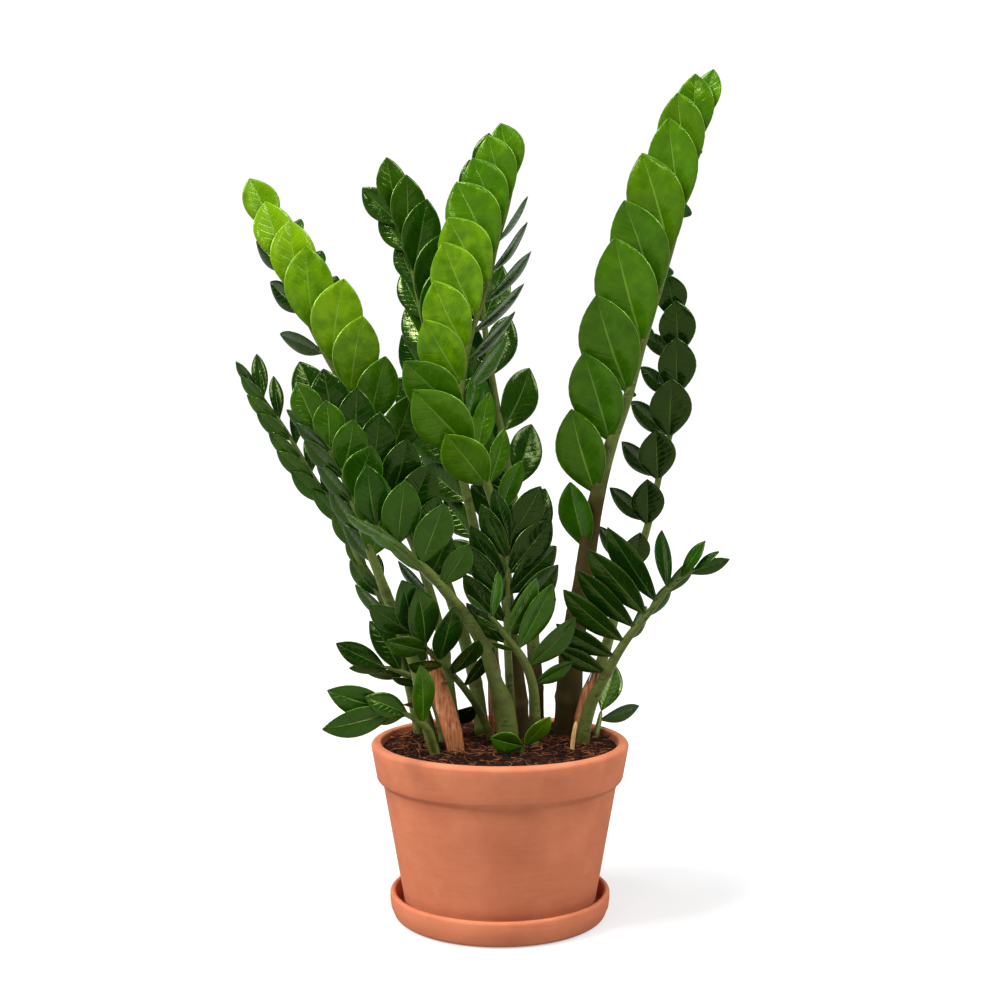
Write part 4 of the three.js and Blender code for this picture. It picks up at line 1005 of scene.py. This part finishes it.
class Stem:
    """A stem's curve, its radius and the way it faces, at any share of its length."""

    def __init__(self, path):
        foot = [path[0][0], path[0][1], SOIL_EDGE - STEM_DEPTH, path[0][3]]
        self.rows = [foot] + path
        self.points = [Vector(row[:3]) for row in self.rows]
        fine = curve_lengths(self.points, SHARE_STEPS)
        self.total = fine[-1]
        last = len(self.rows) - 1
        # Halves round up here, as they do in the frame's source.
        self.shares = [fine[math.floor(SHARE_STEPS * i / last + 0.5)] / self.total
                       for i in range(last + 1)]
        self.lengths = curve_lengths(self.points, CURVE_STEPS)

    def measure(self, share):
        """The curve's own measure at a share of its length."""
        target = share * self.lengths[-1]
        i = max(k for k, length in enumerate(self.lengths) if length <= target)
        if i == CURVE_STEPS:
            return 1.0
        step = self.lengths[i + 1] - self.lengths[i]
        return (i + (target - self.lengths[i]) / step) / CURVE_STEPS

    def radius(self, share):
        """The stem's radius, which runs evenly between the points of its path."""
        i = next(k for k in range(1, len(self.shares))
                 if k == len(self.shares) - 1 or self.shares[k] >= share - 1e-9)
        t = (share - self.shares[i - 1]) / (self.shares[i] - self.shares[i - 1])
        return mix(self.rows[i - 1][3], self.rows[i][3], t)

    def at(self, share):
        """Point, tangent, normal to the front, and side to the right."""
        t = self.measure(share)
        point = curve_point(self.points, t)
        tangent = (curve_point(self.points, min(1, t + 1e-4))
                   - curve_point(self.points, max(0, t - 1e-4))).normalized()
        front = Vector((0, -1, 0))
        normal = (front - tangent * front.dot(tangent)).normalized()
        return point, tangent, normal, tangent.cross(normal)


def outline(u):
    """Half width of a leaflet, as a share of the widest, at a share of its length."""
    return max(0.0, math.sin(math.pi * u ** OUTLINE_LEAN)) ** OUTLINE_FULL


def leaf_place(stem, rank, leaf, bend):
    """Where a leaflet leaves its stem, the way its midrib runs, its face, and its width."""
    point, tangent, normal, side = stem.at(leaf["share"])
    spread = math.radians(leaf["spread"] + bend[0]) * rank["side"]
    lift = math.radians(leaf["lift"] + bend[1])
    roll = math.radians(leaf["roll"] + bend[2]) * rank["side"]
    axis = (tangent * math.cos(spread) + side * math.sin(spread)) * math.cos(lift) \
        + normal * math.sin(lift)
    upright = (normal - axis * normal.dot(axis)).normalized()
    level = axis.cross(upright)
    up = upright * math.cos(roll) + level * math.sin(roll)
    root = point + axis * stem.radius(leaf["share"]) * ROOT_OUT
    return root, axis, up, axis.cross(up)


def leaves_of(rank, draws):
    """The leaflets of one rank, from the stem's foot to its tip."""
    def wobble(size):
        """A draw between minus a size and the size."""
        return (next(draws) - 0.5) * 2 * size
    leaves = []
    for i in range(rank["count"]):
        t = i / (rank["count"] - 1) if rank["count"] > 1 else 0
        crowd = 1 - (1 - t) ** rank.get("crowd", 1)
        long = profile(rank["long"], t) * (1 + wobble(SIZE_WOBBLE))
        leaves.append({
            "share": mix(rank["from"], rank["to"], crowd), "long": long,
            "wide": long * rank["plump"] * (1 + wobble(SIZE_WOBBLE)),
            "spread": profile(rank["spread"], t) + wobble(TURN_WOBBLE),
            "lift": profile(rank["lift"], t) + wobble(TURN_WOBBLE),
            "roll": profile(rank["roll"], t) + wobble(ROLL_WOBBLE),
            "curl": LEAF_CURL + wobble(SIZE_WOBBLE), "tone": profile(rank["tone"], t)})
    return leaves


def solid_marks(place, leaf):
    """The tip and the edge points that the frame's solid leaflet has, in metres."""
    root, axis, up, across = place
    long = leaf["long"]
    curl = leaf["curl"] * long
    marks = [root + axis * long - up * curl]
    for u in SMALL_STATIONS if long < SMALL_LEAF else LEAF_STATIONS:
        half = outline(u) * leaf["wide"] / 2
        middle = root + axis * (u * long) + up * (LEAF_FOLD * half - curl * u * u)
        marks += [middle + across * half, middle - across * half]
    return [mark * MM for mark in marks]


def settled_place(stem, rank, leaf, solid):
    """The place that the frame's leaflet took, among the bends that it may take."""
    best, least = None, math.inf
    for bend in BENDS:
        place = leaf_place(stem, rank, leaf, bend)
        misses = [solid.find(mark)[2] for mark in solid_marks(place, leaf)]
        # A point may be hidden where leaflets join, so one far miss counts as 1 mm.
        miss = sum(min(MM, distance) for distance in misses)
        if miss < least:
            best, least, found = place, miss, sum(d < NEAR * MM for d in misses)
    if found < FEWEST_FOUND:
        raise RuntimeError(f"the leaflet at {leaf['share']:.3f} isn't in the frame's solid")
    return best


# ---- Leaflets and stems ----
def blank_leaf():
    """A flat blank for every leaflet, mapped by its own width and length."""
    blank = slab("leaf_blank", LEAF_ACROSS, LEAF_ALONG)
    # Rings crowd towards the base and the tip, where the outline bends most.
    for point in blank.data.vertices:
        point.co.y = -math.cos(math.pi * (point.co.y + 1) / 2)
    layer = blank.data.uv_layers["UVMap"]
    for loop in blank.data.loops:
        point = blank.data.vertices[loop.vertex_index].co
        layer.data[loop.index].uv = ((point.x + 1) / 2, (point.y + 1) / 2)
    deselect()
    blank.select_set(True)
    bpy.ops.object.shade_smooth()
    return blank


def inside_frame(spot):
    """The nearest place that lies inside the frame's box."""
    return [min(high, max(low, value)) for low, value, high in zip(CAD_BOX[0], spot, CAD_BOX[1])]


def shaped_leaf(blank, place, leaf, sizes, luck, dry):
    """A copy of the blank, bent to one leaflet's outline, fold, curl and small waves."""
    root, axis, up, across = place
    long, wide = leaf["long"], leaf["wide"]
    curl = leaf["curl"] * long
    blade = sizes.blade / MM / 2
    stalk = sizes.petiole / MM / 2
    phase = (luck.uniform(0, 6.3), luck.uniform(0, 6.3))
    wave = luck.uniform(0.004, 0.011) * long * (DRY_CRINKLE if dry else 1.0)
    twist = math.radians(luck.uniform(-5, 5))
    bow = luck.uniform(-0.03, 0.03) * long
    copy = copied(blank)
    for point in copy.data.vertices:
        s, u, face = point.co.x, (point.co.y + 1) / 2, point.co.z
        tip = 1 - TIP_NARROWING * smooth(TIP_START, 1.0, u)
        half = max(outline(u) * tip * wide / 2, mix(STALK_HALF, TIP_HALF, u))
        rise = LEAF_FOLD * half * abs(s) * (1.5 - 0.5 * s * s)
        rippled = math.sin(RIM_RIPPLE * u + phase[0 if s > 0 else 1]) * smooth(0, 0.3, u)
        ripple = wave * s * s * rippled
        thick = mix(stalk, blade, smooth(0.0, STALK_SHARE, u)) * (1 - RIM_THINNING * s * s)
        sway = math.sin(math.pi * u) * bow
        turn = twist * u
        wide_way = across * math.cos(turn) + up * math.sin(turn)
        high_way = up * math.cos(turn) - across * math.sin(turn)
        spot = (root + axis * (u * long) + wide_way * (s * half + sway)
                + high_way * (rise + ripple + face * thick) - up * (curl * u * u)) * MM
        point.co = inside_frame(spot)
    count = len(copy.data.vertices)
    tone = leaf["tone"] + luck.uniform(-0.05, 0.05)
    store(copy, "tone", [tone] * count)
    store(copy, "tint", [luck.random()] * count)
    store(copy, "under", [1.0 if point.co.z < 0 else 0.0 for point in blank.data.vertices])
    store(copy, "dry", [1.0 if dry else 0.0] * count)
    return copy


def solid_corners(name):
    """The corners of a node's solid, to be found by place."""
    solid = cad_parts[name].data.vertices
    corners = KDTree(len(solid))
    for point in solid:
        corners.insert(point.co, point.index)
    corners.balance()
    return corners


def leaves_on(frond, stem, blank, sizes):
    """Every leaflet of a frond, where the frame's solid has it."""
    corners = solid_corners(frond["name"])
    draws = park_miller(frond["seed"])
    luck = random.Random(frond["seed"])
    leaves = []
    for rank in frond["ranks"]:
        for leaf in leaves_of(rank, draws):
            place = settled_place(stem, rank, leaf, corners)
            leaves.append(shaped_leaf(blank, place, leaf, sizes, luck, rank.get("dry", False)))
    return leaves


def bent_stem(name, stem, rings, foot=(0, 1), scars=(), sides=14):
    """A closed tube bent along a stem, with swollen rings at its old leaf scars."""
    piece = tube(name, sides, rings)
    brown, scarred = [], []
    for point in piece.data.vertices:
        share = min(1.0, max(0.0, point.co.z + 0.5))
        where, _, normal, side = stem.at(share)
        near = max((math.exp(-((share - s) * stem.total / SCAR_HEIGHT) ** 2) for s in scars),
                   default=0)
        round_way = Vector((point.co.x, point.co.y, 0))
        lumpy = 1 + STEM_LUMPS * noise.noise(where * LUMPS_PER_MM + round_way * 0.7)
        blunt = min(1.0, 0.35 + (1 - share) * 60)
        r = stem.radius(share) * (1 + SCAR_SWELL * near) * lumpy * blunt
        point.co = (where + side * point.co.x * r + normal * point.co.y * r) * MM
        high = (where.z - SOIL_EDGE) / max(1, foot[1] - SOIL_EDGE)
        brown.append(foot[0] * (1 - smooth(0.35, 1.0, high)))
        scarred.append(near * SCAR_BROWN)
    store(piece, "brown", brown)
    store(piece, "scar", scarred)
    turn_faces_out(piece)
    return piece


def paper_sheath(sheath, phase):
    """A dry sheath: a thin slab curled round its stem's foot, creased and torn at the top."""
    rows = [[*sheath["path"][0]]] + sheath["path"]
    rows[0][2] = SOIL_EDGE - SHEATH_DEPTH
    middle, thin = sheath["thick"] / 2, sheath["thick"] * SHEATH_THINNING
    strip = slab(sheath["name"] + "_paper", 18, 30)
    edges = []
    for point in strip.data.vertices:
        s, t, face = point.co.x, (point.co.y + 1) / 2, point.co.z
        # The top is torn into points, so it ends lower between them.
        torn = 1 - 0.16 * (0.5 + 0.5 * math.sin(s * 9 + phase)) * smooth(0.7, 1, t)
        place = t * torn * (len(rows) - 1)
        i = min(len(rows) - 2, int(place))
        x, y, z, inner, wrap = (mix(a, b, place - i) for a, b in zip(rows[i], rows[i + 1]))
        angle = math.radians(sheath["facing"] + s * wrap)
        crease = 0.25 * math.sin(s * 14 + 3 * t + phase) * smooth(0, 0.3, t)
        r = inner + middle + face * thin + crease
        point.co = Vector((x + r * math.sin(angle), y - r * math.cos(angle), z)) * MM
        edges.append(max(smooth(0.8, 1.0, abs(s)), smooth(0.86, 1.0, t)))
    store(strip, "edge", edges)
    turn_faces_out(strip)
    bpy.ops.object.shade_smooth()
    return strip


# ---- Soil ----
def soil_height(x, y):
    """Height of the soil, in millimetres, with the same waves as the frame's solid."""
    share = min(1, math.hypot(x, y) / MOUTH_RADIUS)
    waves = math.sin(x * 0.21 + 1.3) * math.cos(y * 0.19 - 0.4) \
        + 0.6 * math.sin(x * 0.083 - y * 0.11 + 2.1)
    lump = math.exp(-((x - COIR_LUMP["at"][0]) ** 2 + (y - COIR_LUMP["at"][1]) ** 2)
                    / COIR_LUMP["radius"] ** 2)
    return SOIL_EDGE + SOIL_MOUND * (1 - share ** 2) + SOIL_ROUGH * waves * (1 - share ** 6) \
        + COIR_LUMP["rise"] * lump


def soil_bed():
    """The soil: a plug that fills the pot down into its drain hole, with a cloddy top."""
    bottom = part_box("soil")[0][2]
    rings = [SOIL_RADIUS * MM * (1 - i / SOIL_RINGS) for i in range(SOIL_RINGS)]
    section = [(PLUG_RADIUS * MM, bottom), (PLUG_RADIUS * MM, SOIL_FLOOR * MM),
               *((r * MM, z * MM) for r, z in SOIL_COVE), *((r, SOIL_EDGE * MM) for r in rings)]
    soil = turned("coir_soil_bed", section, SOIL_SEGMENTS, closed=False)
    for point in soil.data.vertices:
        if point.co.z > (SOIL_EDGE - SOIL_MOUND) * MM:
            x, y = point.co.x / MM, point.co.y / MM
            at = Vector((x, y, 0))
            inside = 1 - smooth(0.93, 1.0, math.hypot(x, y) / SOIL_RADIUS)
            clods = sum(height * noise.noise(at / size) for height, size in CLODS)
            point.co.z = (soil_height(x, y) + clods * inside - SOIL_SUNK) * MM
    return soil


def scattered(luck, count):
    """Places over the soil, closer together on the coir lump."""
    places = []
    while len(places) < count:
        if luck.random() < LUMP_SHARE:
            x = COIR_LUMP["at"][0] + luck.gauss(0, LUMP_SCATTER)
            y = COIR_LUMP["at"][1] + luck.gauss(0, LUMP_SCATTER)
        else:
            angle, r = luck.uniform(0, math.tau), SOIL_RADIUS * math.sqrt(luck.random())
            x, y = r * math.cos(angle), r * math.sin(angle)
        if math.hypot(x, y) < SOIL_RADIUS - 5:
            places.append((x, y))
    return places


def bent_strand(blank, x, y, thickness, luck):
    """A copy of the blank, laid on the soil as one curled and arched coir strand."""
    copy = copied(blank)
    long = luck.uniform(8, 27)
    bend = luck.uniform(-3.6, 3.6)
    heading = luck.uniform(0, math.tau)
    tilt = luck.gauss(0, 0.28)
    arch = luck.uniform(0, 0.25) * long
    thick = thickness / 2 * luck.uniform(0.6, 1.4)
    level = soil_height(x, y) + luck.uniform(-0.4, 3.0)
    most = SOIL_RADIUS - 1
    for point in copy.data.vertices:
        t = point.co.z
        turn = heading + bend * t
        ahead = Vector((math.cos(turn), math.sin(turn), 0))
        beside = Vector((-math.sin(turn), math.cos(turn), 0))
        r = thick * (1.1 - 1.4 * abs(t))
        middle = Vector((x, y, level + arch * (0.25 - t * t) + tilt * long * t))
        middle += ahead * long * t
        reach = math.hypot(middle.x, middle.y)
        if reach > most:
            middle.x *= most / reach
            middle.y *= most / reach
        point.co = (middle + beside * point.co.x * r + Vector((0, 0, point.co.y * r))) * MM
    store(copy, "tint", [luck.random() ** 1.3] * len(copy.data.vertices))
    return copy


def blank_crumb():
    """A small ball for every crumb."""
    deselect()
    bpy.ops.mesh.primitive_ico_sphere_add(subdivisions=1, radius=1)
    return named("crumb_blank")


def shaped_crumb(blank, x, y, luck):
    """A copy of the blank, roughened, turned and half sunk in the soil."""
    copy = copied(blank)
    size = Vector([luck.uniform(0.8, 2.6) for _ in range(3)])
    middle = Vector((x, y, soil_height(x, y) + 0.2))
    turn = Matrix.Rotation(luck.uniform(0, math.tau), 3, "Z") \
        @ Matrix.Rotation(luck.uniform(0, math.pi), 3, "X")
    for point in copy.data.vertices:
        rough = luck.uniform(0.7, 1.15)
        point.co = (middle + turn @ (point.co * size) * rough) * MM
    store(copy, "tint", [luck.random() ** 2 * 0.7] * len(copy.data.vertices))
    return copy


# ---- Stage ----
def white_paper():
    """Matte white paper with a faint tooth. It glows for the camera alone, so that its glow
    lights nothing."""
    material, tree, shader = new_material("white_paper")
    place = add(tree, "TexCoord").outputs["Object"]
    tooth = add(tree, "TexNoise", {"Vector": place, "Scale": 1 / 0.004})
    white = add(tree, "MapRange", {0: tooth, 3: 0.36, 4: 0.38})
    seen = add(tree, "LightPath").outputs["Is Camera Ray"]
    glow = add(tree, "MapRange", {0: seen, 4: 0.5})
    feed(tree, shader, {"Base Color": white, "Roughness": 0.9, "Specular IOR Level": 0.0,
                        "Emission Color": (1, 1, 1, 1), "Emission Strength": glow})
    return material


def studio_floor():
    """A paper floor 60 m across, so that its edge lies far behind the plant."""
    deselect()
    bpy.ops.mesh.primitive_circle_add(vertices=64, radius=30, fill_type="NGON",
                                      location=(0, 0, -FLOOR_DROP * MM))
    floor = settle(named("studio_floor"))
    floor.data.materials.append(white_paper())


def white_room(scene):
    """White air all round: bright to the camera, and a dim light on the plant."""
    world = bpy.data.worlds.new("white_room")
    scene.world = world
    world.use_nodes = True
    air = world.node_tree
    air.nodes.clear()
    seen = add(air, "Background", {"Color": (1, 1, 1, 1), "Strength": 1.05})
    felt = add(air, "Background", {"Color": (1, 1, 1, 1), "Strength": 0.08})
    ray = add(air, "LightPath").outputs["Is Camera Ray"]
    both = add(air, "MixShader", {0: ray, 1: felt, 2: seen})
    add(air, "OutputWorld", {0: both})


def hang_lamp(collection, name, turn, rise, strength, spread):
    """A soft lamp so far off that its light comes from one side evenly."""
    lamp = bpy.data.lights.new(name, "SUN")
    lamp.energy = strength
    lamp.angle = math.radians(spread)
    light = bpy.data.objects.new(name, lamp)
    collection.objects.link(light)
    turn, rise = math.radians(turn), math.radians(rise)
    came_from = Vector((math.sin(turn) * math.cos(rise), -math.cos(turn) * math.cos(rise),
                        math.sin(rise)))
    light.rotation_euler = came_from.to_track_quat("Z", "Y").to_euler()


def set_camera(scene, collection):
    """The camera, in front of the plant at half its height."""
    lens = bpy.data.cameras.new("camera")
    lens.lens = LENS
    lens.sensor_width = SENSOR
    camera = bpy.data.objects.new("camera", lens)
    collection.objects.link(camera)
    camera.location = (0, -CAMERA_DISTANCE * MM, CAMERA_HEIGHT * MM)
    camera.rotation_euler = (math.radians(90 - CAMERA_DIP), 0, 0)
    scene.camera = camera


# ---- Operators ----
class PLANT_OT_pot(bpy.types.Operator):
    """Models the terracotta pot with its rim band and drain hole"""

    bl_idname = "plant.pot"
    bl_label = "Pot"

    def execute(self, context):
        s = context.scene.pot_sizes
        edge, heel, lip, cove = 0.0005, 0.002, 0.003, 0.004
        undercut = ((0.0006, 0.0012), (0.0022, 0.0026), (0.0048, 0.0042))
        inner = s.rim_radius - s.wall
        slope = (s.neck_radius - s.foot_radius) / (s.neck_height - s.foot_height)
        floor_inner = s.foot_radius + slope * s.floor - s.wall
        floor_top = s.foot_height + s.floor
        body = straight((s.foot_radius, s.foot_height + heel), (s.neck_radius, s.neck_height), 10)
        band = straight((s.band_radius, s.band_bottom), (s.rim_radius, s.rim_top - s.rim_lip), 4)
        wall = straight((inner, s.rim_top - lip), (floor_inner, floor_top + cove), 8)
        section = [
            (s.drain_radius, s.foot_height + edge),
            (s.drain_radius + edge, s.foot_height),
            *((r, s.foot_height) for r in (0.05, 0.08, s.foot_radius - heel)),
            (s.foot_radius - 0.3 * heel, s.foot_height + edge),
            *body,
            # The band overhangs the body with a rounded undercut.
            *((s.neck_radius + out, s.neck_height + up) for out, up in undercut),
            (s.band_radius - 0.0006, s.band_bottom - 0.0014),
            *band[:-1],
            *arc(s.rim_radius - s.rim_lip, s.rim_top - s.rim_lip, s.rim_lip, 0, 90, 6),
            *arc(inner + lip, s.rim_top - lip, lip, 100, 180, 5),
            *wall[1:],
            (floor_inner - 0.3 * cove, floor_top + 0.3 * cove),
            (floor_inner - cove, floor_top),
            *((r, floor_top) for r in (0.07, 0.04, s.drain_radius + 2 * edge)),
            (s.drain_radius, floor_top - 2 * edge),
            (s.drain_radius, s.foot_height + edge),
        ]
        pot = turned("terracotta_pot", section, POT_SEGMENTS, closed=True)
        ready(pot, terracotta(context.scene.plant_colours), "terracotta", "pot")
        return {"FINISHED"}


class PLANT_OT_saucer(bpy.types.Operator):
    """Models the saucer that the pot stands in"""

    bl_idname = "plant.saucer"
    bl_label = "Saucer"

    def execute(self, context):
        s = context.scene.pot_sizes
        hub, lip, cove, foot = 0.004, 0.0032, 0.005, 0.006
        below_lip = s.saucer_height - 0.009
        section = [
            (hub, 0.0), *((r, 0.0) for r in (0.04, 0.08, s.saucer_foot - 0.002)),
            *arc(s.saucer_foot, foot, foot, -90, -15, 6),
            (s.saucer_belly - 0.0009, 0.011), (s.saucer_belly, below_lip),
            *arc(s.saucer_belly - lip, s.saucer_height - lip, lip, 0, 150, 8),
            (s.saucer_mouth - 0.001, below_lip),
            (s.saucer_mouth - cove / 2, s.saucer_floor + cove / 2),
            (s.saucer_mouth - 0.0035, s.saucer_floor + 0.0011),
            (s.saucer_mouth - cove - 0.001, s.saucer_floor),
            *((r, s.saucer_floor) for r in (0.08, 0.04, hub)),
        ]
        saucer = turned("terracotta_saucer", section, POT_SEGMENTS, closed=False)
        ready(saucer, bpy.data.materials["fired_terracotta"], "terracotta", "saucer")
        return {"FINISHED"}


class PLANT_OT_soil(bpy.types.Operator):
    """Models the soil with its crumbs and coir strands"""

    bl_idname = "plant.soil"
    bl_label = "Soil"

    def execute(self, context):
        colours = context.scene.plant_colours
        sizes = context.scene.plant_sizes
        ready(soil_bed(), coir_soil(colours), "coir_soil", "soil")

        luck = random.Random(41)
        fibre = coir_fibre(colours)
        strand = tube("strand_blank", 4, 6)
        strands = [bent_strand(strand, x, y, sizes.strand / MM, luck)
                   for x, y in scattered(luck, sizes.strands)]
        bpy.data.objects.remove(strand)
        ready(joined("coir_strands", strands), fibre, "coir_soil", "soil")

        crumb = blank_crumb()
        crumbs = [shaped_crumb(crumb, x, y, luck) for x, y in scattered(luck, sizes.crumbs)]
        bpy.data.objects.remove(crumb)
        ready(joined("soil_crumbs", crumbs), fibre, "coir_soil", "soil")
        return {"FINISHED"}


class PLANT_OT_fronds(bpy.types.Operator):
    """Grows every frond: its stem, and its leaflets where the frame has them"""

    bl_idname = "plant.fronds"
    bl_label = "Fronds"

    def execute(self, context):
        colours = context.scene.plant_colours
        sizes = context.scene.plant_sizes
        leaf_skin = waxy_leaf(colours)
        stem_skin = fleshy_stem(colours)
        blank = blank_leaf()
        for frond in FRONDS:
            name = frond["name"]
            stem = Stem(frond["path"])
            foliage = joined(name + "_leaves", leaves_on(frond, stem, blank, sizes))
            rounding = foliage.modifiers.new("Rounding", "SUBSURF")
            rounding.levels = rounding.render_levels = 1
            ready(foliage, leaf_skin, frond["slot"], name)
            rings = max(12, round(stem.total / RING_SPACING))
            stalk = bent_stem(name + "_stem", stem, rings, frond["foot"], frond["rings"])
            ready(stalk, stem_skin, "stem", name)
        bpy.data.objects.remove(blank)
        return {"FINISHED"}


class PLANT_OT_sheaths(bpy.types.Operator):
    """Models the dry sheaths round old stem feet, and the dry stub"""

    bl_idname = "plant.sheaths"
    bl_label = "Dry sheaths and stub"

    def execute(self, context):
        skin = dry_sheath(context.scene.plant_colours)
        luck = random.Random(5)
        for sheath in SHEATHS:
            ready(paper_sheath(sheath, luck.uniform(0, 10)), skin, "dry_sheath", sheath["name"])
        stub = bent_stem("dry_stub", Stem(STUB["path"]), 14, sides=10)
        ready(stub, dry_stalk(), "dry_stub", STUB["name"])
        return {"FINISHED"}


class PLANT_OT_stage(bpy.types.Operator):
    """Lays a pale floor, hangs soft lights and sets the camera"""

    bl_idname = "plant.stage"
    bl_label = "Stage"

    def execute(self, context):
        studio_floor()
        white_room(context.scene)
        for lamp in LAMPS:
            hang_lamp(context.collection, *lamp)
        set_camera(context.scene, context.collection)
        context.scene.view_settings.view_transform = "Standard"
        return {"FINISHED"}


OPERATORS = (PLANT_OT_pot, PLANT_OT_saucer, PLANT_OT_soil, PLANT_OT_fronds, PLANT_OT_sheaths,
             PLANT_OT_stage)


class PLANT_PT_panel(bpy.types.Panel):
    """Lists the plant's operators, sizes and colours."""

    bl_idname = "PLANT_PT_panel"
    bl_label = "Potted ZZ Plant"
    bl_space_type = "VIEW_3D"
    bl_region_type = "UI"
    bl_category = "ZZ Plant"

    def draw(self, context):
        for operator in OPERATORS:
            self.layout.operator(operator.bl_idname)
        for group in (context.scene.pot_sizes, context.scene.plant_sizes,
                      context.scene.plant_colours):
            box = self.layout.box()
            for name in group.__annotations__:
                box.prop(group, name)


CLASSES = (PotSizes, PlantSizes, PlantColours, *OPERATORS, PLANT_PT_panel)


def register():
    for item in CLASSES:
        bpy.utils.register_class(item)
    bpy.types.Scene.pot_sizes = PointerProperty(type=PotSizes)
    bpy.types.Scene.plant_sizes = PointerProperty(type=PlantSizes)
    bpy.types.Scene.plant_colours = PointerProperty(type=PlantColours)


def unregister():
    del bpy.types.Scene.plant_colours
    del bpy.types.Scene.plant_sizes
    del bpy.types.Scene.pot_sizes
    for item in reversed(CLASSES):
        bpy.utils.unregister_class(item)


def main():
    """Models the plant, operator by operator."""
    register()
    bpy.ops.plant.pot()
    bpy.ops.plant.saucer()
    bpy.ops.plant.soil()
    bpy.ops.plant.fronds()
    bpy.ops.plant.sheaths()
    bpy.ops.plant.stage()


if __name__ == "__main__":
    main()
